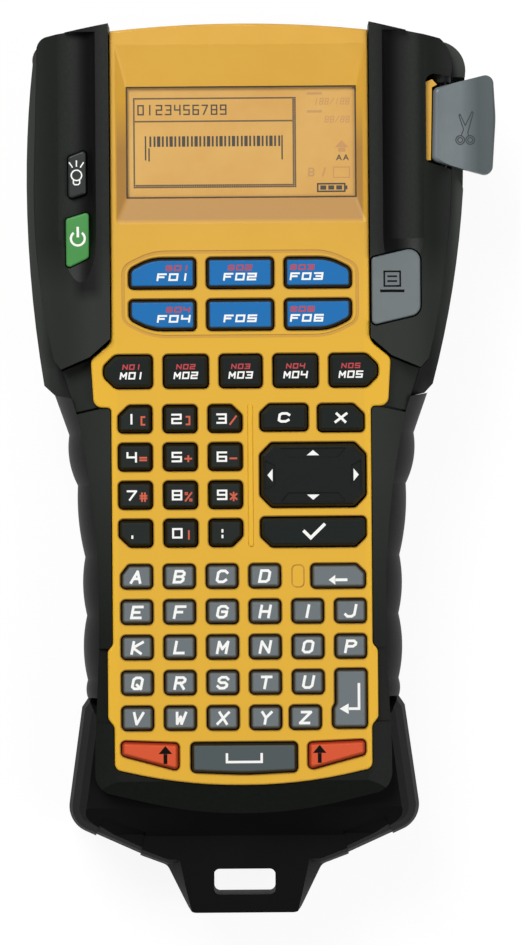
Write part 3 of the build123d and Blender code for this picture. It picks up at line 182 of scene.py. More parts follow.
@dataclass(frozen=True)
class Finish:
    """One real material and what it shows.

    Attributes:
        name: material name.
        colour: main sRGB colour.
        shade: colour of its darker mottling.
        roughness: typical roughness.
        grain_mm: size of the fine texture.
        bump_mm: height of the fine texture.
        mottle_mm: size of the mottling.
        grain: how the surface was made.
        metallic: 1 for bare metal.
        coat: weight of a clear gloss layer.
        zones: places with a colour of their own, or with painted shade or highlight.
        alpha: below 1 for a clear part.
        sheen: weight of the soft light of rubber at grazing angles.
        specular: strength of the mirror reflection, 0.5 for bare plastic.
    """

    name: str
    colour: str
    shade: str
    roughness: float
    grain_mm: float = 0.6
    bump_mm: float = 0.02
    grain: Grain = Grain.MOULDED
    metallic: float = 0.0
    coat: float = 0.0
    zones: tuple[Zone, ...] = ()
    alpha: float = 1.0
    sheen: float = 0.0
    specular: float = 0.5
    mottle_mm: float = 22.0

    def material(self) -> bpy.types.Material:
        """Build the node material, once for each finish.

        Returns:
            The material.
        """
        if self.name in bpy.data.materials:
            return bpy.data.materials[self.name]
        made = bpy.data.materials.new(self.name)
        made.use_nodes = True
        tree = made.node_tree
        tree.nodes.clear()
        place = node(tree, "TexCoord").outputs["Object"]
        if self.grain is Grain.BRUSHED:
            place = node(tree, "Mapping", {"Vector": place, "Scale": BRUSHED_SCALE}).outputs["Vector"]
        pitch = 1.0 / (self.grain_mm * MM)
        fine = node(tree, "TexNoise", {"Vector": place, "Scale": pitch, "Detail": 3.0, "Roughness": 0.55})
        pitch = 1.0 / (self.mottle_mm * MM)
        broad = node(tree, "TexNoise", {"Vector": place, "Scale": pitch, "Detail": 4.0, "Roughness": 0.6})
        limits = {"From Min": MOTTLE_RANGE[0], "From Max": MOTTLE_RANGE[1]}
        mottle = node(tree, "MapRange", {"Value": broad.outputs["Fac"], **limits})
        parts = {"Factor": mottle.outputs["Result"], 6: linear(self.shade), 7: linear(self.colour)}
        colour = node(tree, "Mix", parts, data_type="RGBA").outputs[2]
        for zone in self.zones:
            parts = {"Factor": zone.factor(tree), 6: colour, 7: linear(zone.colour)}
            colour = node(tree, "Mix", parts, data_type="RGBA").outputs[2]
        low, high = self.roughness - GLOSS_SPREAD, self.roughness + GLOSS_SPREAD
        gloss = node(tree, "MapRange", {"Value": fine.outputs["Fac"], "To Min": low, "To Max": high})
        relief = {"Height": fine.outputs["Fac"], "Distance": self.bump_mm * MM, "Strength": RELIEF}
        bump = node(tree, "Bump", relief)
        shader = node(tree, "BsdfPrincipled", {
            "Base Color": colour, "Roughness": gloss.outputs["Result"], "Metallic": self.metallic,
            "Coat Weight": self.coat, "Coat Roughness": 0.12, "Normal": bump.outputs["Normal"],
            "Alpha": self.alpha, "Sheen Weight": self.sheen, "IOR": 1.5, "Specular IOR Level": self.specular,
        })
        node(tree, "OutputMaterial", {"Surface": shader.outputs["BSDF"]})
        return made


def key_top(colour: str, z: float = 55.35, blur: float = 0.2) -> tuple[Zone, ...]:
    """Lighter top of a key above its dark skirt."""
    return (Zone(colour, z=(z, EVERYWHERE), blur=(blur, blur, blur)),)


class Finishes:
    """The materials of this label maker."""

    # Moulded ABS in signal yellow: satin, faint flow mottling, deeper in colour on the lower half, with
    # painted shade in the recess of the display
    PANEL = Finish("moulded_abs_yellow", "#dfac42", "#daa63c", 0.46, 0.5, 0.012, specular=0.35, zones=(
        Zone("#e8b42c", y=(-EVERYWHERE, 60.0), blur=(1.0, 50.0, 1.0)),
        # Painted shade: darker amber on the faces that lie below the panel's face in the recess of the
        # display
        Zone("#b88a48", x=(-EVERYWHERE, 35.6), y=(-EVERYWHERE, 99.0), z=(0.0, 53.8), blur=(0.5, 14.0, 0.5))))
    # Moulded ABS in black with a fine spark-eroded texture: soft grey sheen, with painted shade in its
    # channel and on its outer slope, lighter towards its lower end
    COVER = Finish("textured_abs_black", "#1f221f", "#181b18", 0.52, 0.45, 0.04, specular=0.2, mottle_mm=0.9,
                   # Painted shade on the outer slope of the cover
                   zones=(Zone("#181b18", x=(53.0, EVERYWHERE), blur=(6.0, 1.0, 1.0)),
                          Zone("#292c29", y=(-EVERYWHERE, 58.0), blur=(1.0, 14.0, 1.0)),
                          # Painted shade in the channel beside the yellow panel
                          Zone("#070807", x=(40.5, 47.0), y=(50.0, EVERYWHERE), blur=(3.0, 4.0, 3.0))))
    # Rear shell of the same ABS, with a painted highlight on its outer sides, where they are seen at a
    # grazing angle
    REAR = Finish("textured_abs_rear_black", "#1e211e", "#191c19", 0.52, 0.45, 0.04, specular=0.25,
                  # Painted highlight on the outer sides of the rear shell
                  mottle_mm=0.9, zones=(Zone("#363936", x=(56.5, EVERYWHERE), blur=(3.0, 1.0, 1.0)),))
    # Lower frame of the same ABS, slightly lighter towards its upper end
    FRAME = Finish("textured_abs_charcoal", "#131613", "#0e110e", 0.52, 0.45, 0.04, specular=0.14,
                   mottle_mm=0.9, zones=(Zone("#282b28", y=(-24.0, EVERYWHERE), blur=(1.0, 50.0, 1.0)),))
    # Thermoplastic rubber: matte, takes light at grazing angles
    GRIP = Finish("overmoulded_rubber_grey", "#161816", "#121412", 0.6, 0.6, 0.03, sheen=0.05, specular=0.14)
    BUMPER = Finish("overmoulded_rubber_black", "#111211", "#0e0f0e", 0.6, 0.7, 0.02, specular=0.05)
    # Silicone keys: satin tops on darker skirts; the dark skirt of the blue keys is painted shade on their
    # bevels
    KEY_GREY = Finish("silicone_key_grey", "#2b2926", "#262422", 0.5, 0.5, 0.01, specular=0.3,
                      zones=key_top("#6b7377", 55.1, 0.6))
    KEY_SPACE = Finish("silicone_key_slate", "#131312", "#0f0f0e", 0.5, 0.5, 0.01, specular=0.3,
                       zones=key_top("#4b5557"))
    KEY_BLACK = Finish("silicone_key_black", "#080a09", "#060807", 0.45, 0.5, 0.01, specular=0.12,
                       zones=key_top("#232826"))
    KEY_CONTROL = Finish("silicone_key_satin_black", "#070808", "#050606", 0.42, 0.5, 0.008, specular=0.1,
                         zones=key_top("#1d2221", 54.6))
    # Blue keys are blue to the edge; their near-black blue skirt is painted shade on the bevel
    KEY_BLUE = Finish("silicone_key_blue", "#050f18", "#040d14", 0.4, 0.5, 0.008, specular=0.25,
                      zones=key_top("#146db0"))
    KEY_RED = Finish("silicone_key_red", "#a82c1e", "#a0281b", 0.42, 0.5, 0.008, specular=0.25,
                     zones=key_top("#d9552f", 55.1, 0.6))
    KEY_ROCKER = Finish("silicone_rocker_black", "#0a0c0b", "#080a09", 0.4, 0.5, 0.008, specular=0.2,
                        zones=key_top("#121615", 54.6))
    # Shoulder buttons and lever
    KEY_GREEN = Finish("silicone_key_green", "#4a974d", "#448d45", 0.4, 0.5, 0.008, specular=0.3)
    BUTTON = Finish("moulded_abs_grey", "#6d7577", "#666e70", 0.42, 0.5, 0.01, specular=0.35)
    LEVER = Finish("moulded_nylon_grey", "#727b7e", "#697275", 0.36, 0.6, 0.015, zones=(
        # Painted shade: darker towards the outer edge of the lever, where its top falls away
        Zone("#465052", x=(66.6, EVERYWHERE), blur=(5.0, 5.0, 5.0)),))
    BUTTON_BLACK = Finish("moulded_button_black", "#272a28", "#212422", 0.4, 0.5, 0.01, specular=0.35)
    # Reflective liquid crystal with an amber backlight film
    LCD = Finish("amber_display_film", "#dbac56", "#d49f48", 0.5, 0.3, 0.0, specular=0.25)
    WINDOW = Finish("clear_acrylic", "#fff4df", "#fdf0d8", 0.12, 0.8, 0.0, alpha=0.03, specular=0.3)
    # Printing inks: thin, even and slightly satin
    WHITE_INK = Finish("white_ink", "#fbfbf8", "#f6f6f2", 0.5, 0.2, 0.004)
    RED_INK = Finish("red_ink", "#c03a41", "#b8363d", 0.5, 0.2, 0.004)
    ORANGE_INK = Finish("orange_ink", "#d75c3c", "#cd5638", 0.5, 0.2, 0.004)
    BLACK_INK = Finish("black_ink", "#080706", "#060504", 0.5, 0.2, 0.004, specular=0.1)
    # Painted shadow: dark grey lines in the engraved outline of the scissors, not ink
    GROOVE_SHADE = Finish("engraved_shadow_grey", "#2e3335", "#282d2f", 0.6, 0.2, 0.004)
    PIXEL = Finish("display_pixel_black", "#0c0804", "#0a0603", 0.6, 0.2, 0.0)
    PALE_PIXEL = Finish("display_pixel_pale", "#c4904d", "#bf8b49", 0.6, 0.2, 0.0)
    BORDER_INK = Finish("brown_border_ink", "#4a3a22", "#43341e", 0.5, 0.2, 0.004)
    # Inner parts
    STEEL = Finish("brushed_steel", "#b4b8ba", "#a6aaac", 0.32, 0.3, 0.006, Grain.BRUSHED, metallic=1.0)
    OXIDE = Finish("black_oxide_steel", "#1c1c1c", "#161616", 0.4, 0.3, 0.006, Grain.BRUSHED, metallic=1.0)
    BRASS = Finish("machined_brass", "#c9ab5f", "#bd9f55", 0.3, 0.3, 0.004, Grain.BRUSHED, metallic=1.0)
    ALUMINIUM = Finish("machined_aluminium", "#c3c6c8", "#b9bdbf", 0.34, 0.3, 0.004, Grain.BRUSHED, 1.0)
    BOARD = Finish("solder_mask_green", "#1f5a34", "#1a4f2d", 0.4, 0.4, 0.01, coat=0.3)
    MAT = Finish("silicone_sheet_grey", "#8a8d8c", "#818483", 0.6, 0.5, 0.01)
    GEAR = Finish("acetal_white", "#e4e2da", "#dcdad2", 0.4, 0.5, 0.008)
    TAPE = Finish("coated_label_film", "#ece9e0", "#e4e1d8", 0.45, 0.3, 0.006)
    SLEEVE = Finish("printed_cell_sleeve", "#3a4a5c", "#344353", 0.35, 0.4, 0.004, coat=0.3)


NODE_FINISH: dict[str, Finish] = {
    "front_panel": Finishes.PANEL, "left_shoulder_cover": Finishes.COVER,
    "right_shoulder_cover": Finishes.COVER, "lower_frame": Finishes.FRAME, "rear_case": Finishes.REAR,
    "left_side_grip": Finishes.GRIP, "right_side_grip": Finishes.GRIP,
    "bottom_bumper": Finishes.BUMPER, "cassette_door": Finishes.REAR,
    "battery_cover": Finishes.FRAME, "display_window": Finishes.WINDOW, "lcd_module": Finishes.LCD,
    "main_circuit_board": Finishes.BOARD, "keypad_mat": Finishes.MAT, "power_jack": Finishes.REAR,
    "battery_cells": Finishes.SLEEVE, "print_head": Finishes.ALUMINIUM, "platen_roller": Finishes.BUMPER,
    "idler_gear": Finishes.GEAR, "motor_pinion": Finishes.BRASS, "label_cassette": Finishes.BUTTON,
    "label_tape_roll": Finishes.TAPE, "cutter_lever": Finishes.LEVER, "navigation_pad": Finishes.KEY_ROCKER,
    "navigation_pivot": Finishes.KEY_CONTROL, "function_keys": Finishes.KEY_CONTROL,
    "clear_key": Finishes.KEY_CONTROL, "escape_key": Finishes.KEY_CONTROL,
    "ok_key": Finishes.KEY_CONTROL, "power_button": Finishes.KEY_GREEN,
    "backlight_button": Finishes.BUTTON_BLACK, "print_button": Finishes.BUTTON,
    "left_shift_key": Finishes.KEY_RED, "right_shift_key": Finishes.KEY_RED, "space_key": Finishes.KEY_SPACE,
    "cutter_pivot_pin": Finishes.OXIDE, "lever_return_spring": Finishes.OXIDE,
}


def finish_of(name: str) -> Finish:
    """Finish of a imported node: its own, or the one of its kind."""
    if name in NODE_FINISH:
        return NODE_FINISH[name]
    kinds = {"hot_key": Finishes.KEY_BLUE, "number": Finishes.KEY_BLACK, "letter": Finishes.KEY_GREY,
             "backspace": Finishes.KEY_GREY, "enter": Finishes.KEY_GREY}
    for start, finish in kinds.items():
        if name.startswith(start):
            return finish
    return Finishes.STEEL


@dataclass(frozen=True)
class Lettering:
    """Size and shape of printed characters, in millimetres.

    Attributes:
        height: of a character.
        width: of a character.
        weight: width of its strokes.
        slant: how far it leans for each unit of height.
        gap: between two characters.
    """

    height: float
    width: float
    weight: float
    slant: float = 0.0
    gap: float = 0.5


@dataclass
class Print:
    """Flat printed or inlaid marks on one body, gathered into one thin mesh.

    Attributes:
        name: piece name.
        body: body that it rides on.
        z: height of the surface that carries it, in millimetres.
        finish: ink.
        thick: how far it stands up, in millimetres.
        lean: rise of the surface for each millimetre of X.
        lean_x: X at which the surface is at height z.
        hollow: further rise for each square millimetre of distance from there.
    """

    name: str
    body: str
    z: float
    finish: Finish
    thick: float = 0.03
    lean: float = 0.0
    lean_x: float = 0.0
    hollow: float = 0.0
    mesh: bmesh.types.BMesh = field(default_factory=bmesh.new)

    def polygon(self, points: list[Spot]) -> None:
        """Add a flat polygon given by plan points."""
        self.mesh.faces.new([self.mesh.verts.new(at(x, y, self.z)) for x, y in points])

    def bar(self, x: float, y: float, width: float, height: float) -> None:
        """Add a rectangle about a centre."""
        w, h = width / 2, height / 2
        self.polygon([(x - w, y - h), (x + w, y - h), (x + w, y + h), (x - w, y + h)])

    def corner(self, spot: Vector, before: Vector, after: Vector, half: float, sink: float) -> list[list]:
        """Vertices of one corner of a stroke.

        Args:
            spot: middle of the corner.
            before: direction of the line that ends here.
            after: direction of the line that starts here.
            half: half of the width.
            sink: how far the stroke lies lower.

        Returns:
            Left and right vertex for the end of the first line and for the start of the second.
        """
        left, next_left = Vector((-before.y, before.x)), Vector((-after.y, after.x))
        across = (left + next_left).normalized()
        share = across.dot(left)
        reach = across * half / share
        blunt = half / 2
        if share > SHARP:
            ends = [(spot + reach, spot - reach)] * 2
        elif before.cross(after) > 0:
            ends = [(spot + reach, spot - left * half + before * blunt),
                    (spot + reach, spot - next_left * half - after * blunt)]
        else:
            ends = [(spot + left * half + before * blunt, spot - reach),
                    (spot + next_left * half - after * blunt, spot - reach)]
        made: dict[tuple, bmesh.types.BMVert] = {}
        for point in ends[0] + ends[1]:
            if tuple(point) not in made:
                made[tuple(point)] = self.mesh.verts.new(at(*point, self.z - sink))
        return [[made[tuple(point)] for point in pair] for pair in ends]

    def stroke(self, points: list[Spot], width: float, sink: float = 0.0) -> None:
        """Add a line of even width with mitred corners and square ends.

        Args:
            points: corners; a line that ends on its first corner is closed.
            width: width of the line.
            sink: how far it lies lower than others, where it crosses them.
        """
        closed = points[0] == points[-1]
        spots = [Vector(p) for p in (points[:-1] if closed else points)]
        ways = [(b - a).normalized() for a, b in zip(spots, spots[1:] + spots[:1])]
        if not closed:
            ways[-1] = ways[-2]
            spots[0], spots[-1] = spots[0] - ways[0] * width / 2, spots[-1] + ways[-1] * width / 2
        corners = []
        for k, spot in enumerate(spots):
            before = ways[k - 1] if closed or k else ways[0]
            corners.append(self.corner(spot, before, ways[k], width / 2, sink))
        if closed:
            corners.append(corners[0])
        for (_, (a, b)), ((c, d), _) in zip(corners, corners[1:]):
            self.mesh.faces.new((b, d, c, a))
        for ends, starts in corners[:len(spots)]:
            if ends != starts:
                self.mesh.faces.new({vertex: None for vertex in ends + starts})

    def dots(self, start: Spot, end: Spot, size: float, pitch: float) -> None:
        """Add a row of square display pixels from one point to another."""
        span = Vector(end) - Vector(start)
        count = int(span.length / pitch)
        for k in range(count + 1):
            self.bar(*(Vector(start) + span * k / count), size, size)

    def frame(self, x: Spot, y: Spot, width: float) -> None:
        """Add a rectangular outline between limits."""
        corners = [(x[0], y[0]), (x[1], y[0]), (x[1], y[1]), (x[0], y[1]), (x[0], y[0])]
        self.stroke(corners, width)

    def ring(self, x: float, y: float, radius: float, width: float, start: float = 0.0,
             sweep: float = 360.0) -> None:
        """Add a ring or a part of one.

        Args:
            x: centre.
            y: centre.
            radius: middle radius.
            width: stroke width.
            start: first angle in degrees from +X.
            sweep: angle that it covers.
        """
        way = Matrix.Rotation(math.radians(start), 3, "Z") @ Vector((MM, 0, 0))
        reach = (radius - width / 2, radius + width / 2)
        ends = [self.mesh.verts.new(at(x, y, self.z) + way * r) for r in reach]
        edge = self.mesh.edges.new(ends)
        steps = max(6, int(sweep / RING_STEP))
        bmesh.ops.spin(self.mesh, geom=[edge, *ends], cent=at(x, y, self.z), axis=(0, 0, 1),
                       angle=math.radians(sweep), steps=steps, use_merge=sweep >= 360.0)

    def text(self, body: str, x: float, y: float, style: Lettering, anchor: float = 0.5) -> None:
        """Add plain letters or digits at half height y.

        Args:
            body: characters, each with strokes in the table above.
            x: where the text stands.
            y: middle of its height.
            style: size and shape.
            anchor: share of the text that lies left of x.
        """
        tall, broad = style.height - style.weight, style.width - style.weight
        pitch = style.width + style.gap
        left = x - anchor * (len(body) * pitch - style.gap) + style.weight / 2
        for k, character in enumerate(body):
            for order, path in enumerate(GLYPHS[character]):
                spots = []
                for column, row in path.split():
                    up = (int(row) / GRID[1] - 0.5) * tall
                    aside = int(column) / GRID[0] * broad + style.slant * up
                    spots.append((left + k * pitch + aside, y + up))
                self.stroke(spots, style.weight, order * STROKE_STEP)

    def done(self) -> bpy.types.Object:
        """Give the marks their thickness and set them on their body.

        Returns:
            The piece.
        """
        bmesh.ops.remove_doubles(self.mesh, verts=self.mesh.verts, dist=1e-7)
        for vertex in self.mesh.verts:
            aside = vertex.co.x - self.lean_x * MM
            vertex.co.z += self.lean * aside + self.hollow * aside ** 2 / MM
        for face in self.mesh.faces:
            face.normal_update()
            if face.normal.z < 0:
                face.normal_flip()
        sides = bmesh.ops.extrude_face_region(self.mesh, geom=self.mesh.faces[:])
        lifted = [g for g in sides["geom"] if isinstance(g, bmesh.types.BMVert)]
        bmesh.ops.translate(self.mesh, verts=lifted, vec=(0, 0, self.thick * MM))
        bmesh.ops.recalc_face_normals(self.mesh, faces=self.mesh.faces)
        data = bpy.data.meshes.new(self.name)
        self.mesh.to_mesh(data)
        self.mesh.free()
        piece = bpy.data.objects.new(self.name, data)
        bpy.context.scene.collection.objects.link(piece)
        data.materials.append(self.finish.material())
        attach(piece, self.body)
        LOG.info("piece %s on %s, %d faces", self.name, self.body, len(data.polygons))
        return piece


def centre(name: str) -> Spot:
    """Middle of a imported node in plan, in the drawing's millimetres."""
    low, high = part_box(name)
    return (low.x + high.x) / 2 / MM, (low.y + high.y) / 2 / MM + REST_Y


@dataclass
class Casing:
    """Packed shells, mechanism and keys with their finishes."""

    def dress(self) -> None:
        """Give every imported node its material."""
        for name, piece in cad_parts.items():
            piece.data.materials.clear()
            piece.data.materials.append(finish_of(name).material())
            LOG.info("node %s gets %s", name, finish_of(name).name)


@dataclass
class Keypad:
    """Legends of the keys.

    Attributes:
        number_step: pitch of the number keys.
        number_half: half of a number key with its lip.
        letter_step: pitch of the letter keys.
        letter_half: half of a letter key with its lip.
        letter: shape of the letters.
        digit: shape of the digits.
        second: shape of the second marks on the number keys.
        hot: shape of the key numbers on the blue keys.
        hot_second: shape of the second ones there.
        function: shape of the key numbers on the function keys.
        function_second: shape of the second ones there.
        sign: shape of the characters on the control keys.
        digit_x: place of a digit from the middle of its key.
        second_at: place of a second mark from there.
        hot_reach: width of the field in which the numbers of a blue key stand.
        hot_y: height of the key numbers on the blue keys.
        hot_second_y: height of the second ones there.
        hot_plain: the blue key without a second number.
        function_x: middles of the function keys.
        function_y: height of their key numbers.
        function_second_y: height of the second ones there.
        end_shift: how far the last letter stands left of the middle of its key.
    """

    number_step: float = 12.97
    number_half: float = 5.55
    letter_step: float = 12.3
    letter_half: float = 5.25
    letter: Lettering = Lettering(3.9, 3.3, 0.76, 0.2)
    digit: Lettering = Lettering(3.0, 3.0, 0.56)
    second: Lettering = Lettering(2.7, 2.2, 0.5)
    hot: Lettering = Lettering(2.2, 2.7, 0.52, 0.15, 0.7)
    hot_second: Lettering = Lettering(1.65, 2.0, 0.38, 0.15, 0.5)
    function: Lettering = Lettering(2.1, 2.0, 0.44, 0.15, 0.45)
    function_second: Lettering = Lettering(1.55, 1.55, 0.34, 0.15, 0.4)
    sign: Lettering = Lettering(3.0, 3.4, 0.72, 0.15)
    digit_x: float = -1.0
    second_at: Spot = (2.3, -0.5)
    hot_reach: float = 16.0
    hot_y: float = -1.1
    hot_second_y: float = 1.5
    hot_plain: int = 5
    function_x: tuple[float, ...] = (-31.3, -15.8, 0.0, 15.8, 31.7)
    function_y: float = 26.9
    function_second_y: float = 29.4
    end_shift: float = 0.9

    def letters(self) -> None:
        """Print the alphabet on the grey rows."""
        rows = ("ABCD", "EFGHIJ", "KLMNOP", "QRSTU", "VWXYZ")
        for row, letters in enumerate(rows, start=1):
            name = f"letter_row_{row}"
            ink = Print(f"legend_{name}", name, KEY_TOP, Finishes.WHITE_INK)
            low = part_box(name)[0].x / MM
            for column, letter in enumerate(letters):
                x = low + self.letter_half + column * self.letter_step
                if letter == "Z":
                    x -= self.end_shift
                ink.text(letter, x, centre(name)[1], self.letter)
            ink.done()

    def numbers(self) -> None:
        """Print digits in white and small second marks in orange on the number rows."""
        rows = (("1[", "2]", "3/"), ("4=", "5+", "6-"), ("7#", "8%", "9*"), (".", "0|", ":"))
        for row, keys in enumerate(rows, start=1):
            name = f"number_row_{row}"
            white = Print(f"legend_{name}", name, KEY_TOP, Finishes.WHITE_INK)
            orange = Print(f"second_legend_{name}", name, KEY_TOP, Finishes.ORANGE_INK)
            low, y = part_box(name)[0].x / MM, centre(name)[1]
            for column, marks in enumerate(keys):
                x = low + self.number_half + column * self.number_step
                white.text(marks[0], x + self.digit_x, y, self.digit)
                for mark in marks[1:]:
                    orange.text(mark, x + self.second_at[0], y + self.second_at[1], self.second)
            white.done()
            orange.done()

    def hot_keys(self) -> None:
        """Print plain key numbers on the blue keys, each but one with a small red second one."""
        for index in range(1, 7):
            name = f"hot_key_{index}"
            x, y = centre(name)
            anchor = (1.0, 0.5, 0.0)[(index - 1) % 3]
            x += self.hot_reach * (anchor - 0.5)
            white = Print(f"legend_{name}", name, KEY_TOP, Finishes.WHITE_INK)
            white.text(f"F0{index}", x, y + self.hot_y, self.hot, anchor)
            white.done()
            if index != self.hot_plain:
                red = Print(f"second_legend_{name}", name, KEY_TOP, Finishes.RED_INK)
                red.text(f"S0{index}", x, y + self.hot_second_y, self.hot_second, anchor)
                red.done()

    def function_keys(self) -> None:
        """Print plain key numbers on the row of function keys."""
        white = Print("legend_function_keys", "function_keys", KEY_TOP, Finishes.WHITE_INK)
        red = Print("second_legend_function_keys", "function_keys", KEY_TOP, Finishes.RED_INK)
        for index, x in enumerate(self.function_x, start=1):
            white.text(f"M0{index}", x, self.function_y, self.function)
            red.text(f"N0{index}", x, self.function_second_y, self.function_second)
        white.done()
        red.done()

    def controls(self) -> None:
        """Print symbols on the control keys."""
        for name, character in (("clear_key", "C"), ("escape_key", "X")):
            ink = Print(f"legend_{name}", name, KEY_TOP, Finishes.WHITE_INK)
            ink.text(character, *centre(name), self.sign)
            ink.done()
        x, y = centre("ok_key")
        accept = Print("legend_ok_key", "ok_key", KEY_TOP, Finishes.WHITE_INK)
        accept.stroke([(x - 2.6, y + 0.1), (x - 0.8, y - 1.7), (x + 3.0, y + 2.0)], 0.9)
        accept.done()
        pad = Print("arrows_navigation_pad", "navigation_pad", KEY_TOP - 0.5, Finishes.WHITE_INK)
        x, y = centre("navigation_pad")
        arrow = ((-1.8, -0.75), (1.8, -0.75), (0, 0.75))
        for dx, dy in ((0, 6.4), (0, -6.4), (-12.4, 0), (12.4, 0)):
            turn = math.atan2(dy, dx) - math.pi / 2
            corners = [Matrix.Rotation(turn, 2) @ Vector(point) for point in arrow]
            pad.polygon([(x + dx + c.x, y + dy + c.y) for c in corners])
        pad.done()

    def edit_keys(self) -> None:
        """Print symbols on the edit keys."""
        x, y = centre("backspace_key")
        y -= 1.1
        back = Print("legend_backspace_key", "backspace_key", KEY_TOP, Finishes.WHITE_INK)
        back.stroke([(x - 0.6, y), (x + 2.2, y)], 0.8)
        back.polygon([(x - 2.8, y), (x - 0.9, y - 1.4), (x - 0.9, y + 1.4)])
        back.done()
        x, y = centre("enter_key")
        y -= 1.3
        enter = Print("legend_enter_key", "enter_key", KEY_TOP, Finishes.WHITE_INK)
        enter.stroke([(x + 2.6, y + 5.4), (x + 2.6, y - 1.6), (x - 0.1, y - 1.6)], 0.75)
        enter.polygon([(x - 3.0, y - 1.6), (x - 0.4, y - 3.1), (x - 0.4, y - 0.1)])
        enter.done()
        x, y = centre("space_key")
        space = Print("legend_space_key", "space_key", KEY_TOP, Finishes.WHITE_INK)
        space.stroke([(x - 5.0, y + 1.2), (x - 5.0, y - 1.0), (x + 5.0, y - 1.0), (x + 5.0, y + 1.2)], 0.7)
        space.done()
        for name, aside in (("left_shift_key", 4.4), ("right_shift_key", -5.0)):
            x, y = centre(name)
            x, y = x + aside, y + 0.3
            shift = Print(f"legend_{name}", name, KEY_TOP, Finishes.BLACK_INK)
            shift.stroke([(x, y - 2.1), (x, y - 0.4)], 1.1)
            shift.polygon([(x - 1.95, y + 0.2), (x + 1.95, y + 0.2), (x, y + 2.5)])
            shift.done()

    def build(self) -> None:
        """Print every legend."""
        self.letters()
        self.numbers()
        self.hot_keys()
        self.function_keys()
        self.controls()
        self.edit_keys()


@dataclass
class SideControls:
    """Pictograms of the shoulder buttons and the cutter lever.

    Attributes:
        left_lean: slope of the left buttons towards the right.
        print_lean: slope of the print button.
        lever_hollow: how the dished top of the lever rises from its middle.
        lever_x: middle of that dish.
        bulb_at: place and height of the lamp sign.
        power_at: place and height of the stand-by sign.
        scissors_at: place and height of the scissors.
        sheet_at: place and height of the sheet sign.
    """

    left_lean: float = 0.08
    print_lean: float = -0.1385
    lever_hollow: float = 1 / 60
    lever_x: float = 66.0
    bulb_at: Place = (-46.9, 84.8, 53.448)
    power_at: Place = (-46.65, 66.6, 53.468)
    scissors_at: Place = (65.4, 97.6, 50.32)
    sheet_at: Place = (43.8, 52.4, 55.382)

    def bulb(self) -> None:
        """Lamp sign on the backlight button."""
        x, y, z = self.bulb_at
        ink = Print("sign_backlight_button", "backlight_button", z, Finishes.WHITE_INK, lean=self.left_lean,
                    lean_x=x)
        ink.ring(x, y, 1.5, 0.38)
        foot = ((-0.9, -1.5), (-0.9, -2.3), (-0.5, -2.7), (0.5, -2.7), (0.9, -2.3), (0.9, -1.5))
        ink.stroke([(x + dx, y + dy) for dx, dy in foot], 0.36, STROKE_STEP)
        ink.stroke([(x, y + 2.7), (x, y + 4.1)], 0.38)
        for side in (-1, 1):
            ink.stroke([(x + side * 1.2, y + 2.4), (x + side * 2.0, y + 3.6)], 0.38)
        ink.done()

    def power(self) -> None:
        """Stand-by sign on the power button."""
        x, y, z = self.power_at
        ink = Print("sign_power_button", "power_button", z, Finishes.WHITE_INK, lean=self.left_lean,
                    lean_x=x)
        ink.ring(x, y, 2.0, 0.66, 126.0, 288.0)
        ink.stroke([(x, y + 0.7), (x, y + 3.0)], 0.72)
        ink.done()

    def scissors(self) -> None:
        """Outline of scissors on the cutter lever, as dark lines of painted shadow in its engraved groove.
        """
        x, y, z = self.scissors_at
        ink = Print("sign_cutter_lever", "cutter_lever", z, Finishes.GROOVE_SHADE, 0.05,
                    lean_x=self.lever_x, hollow=self.lever_hollow)
        outline = ((-1.3, -2.1), (-0.6, -0.2), (-1.9, 3.8), (-1.6, 4.2), (-0.1, 0.9), (1.9, 4.9),
                   (2.2, 4.5), (0.6, -1.2), (0.9, -2.1))
        ink.stroke([(x + dx, y + dy) for dx, dy in outline], 0.26, STROKE_STEP)
        for dx in (-1.6, 1.3):
            ink.ring(x + dx, y - 3.3, 1.25, 0.28)
            ink.ring(x + dx, y - 3.3, 0.7, 0.26)
        ink.done()

    def sheet(self) -> None:
        """Plain sign of a sheet that leaves a slot on the print button."""
        x, y, z = self.sheet_at
        ink = Print("sign_print_button", "print_button", z, Finishes.BLACK_INK, lean=self.print_lean,
                    lean_x=x)
        ink.frame((x - 2.3, x + 2.3), (y - 0.2, y + 4.0), 0.5)
        ink.bar(x, y + 1.2, 2.8, 0.5)
        ink.bar(x, y + 2.6, 2.8, 0.5)
        ink.bar(x, y - 1.6, 7.0, 0.8)
        ink.done()

    def build(self) -> None:
        """Draw every sign."""
        self.bulb()
        self.power()
        self.scissors()
        self.sheet()


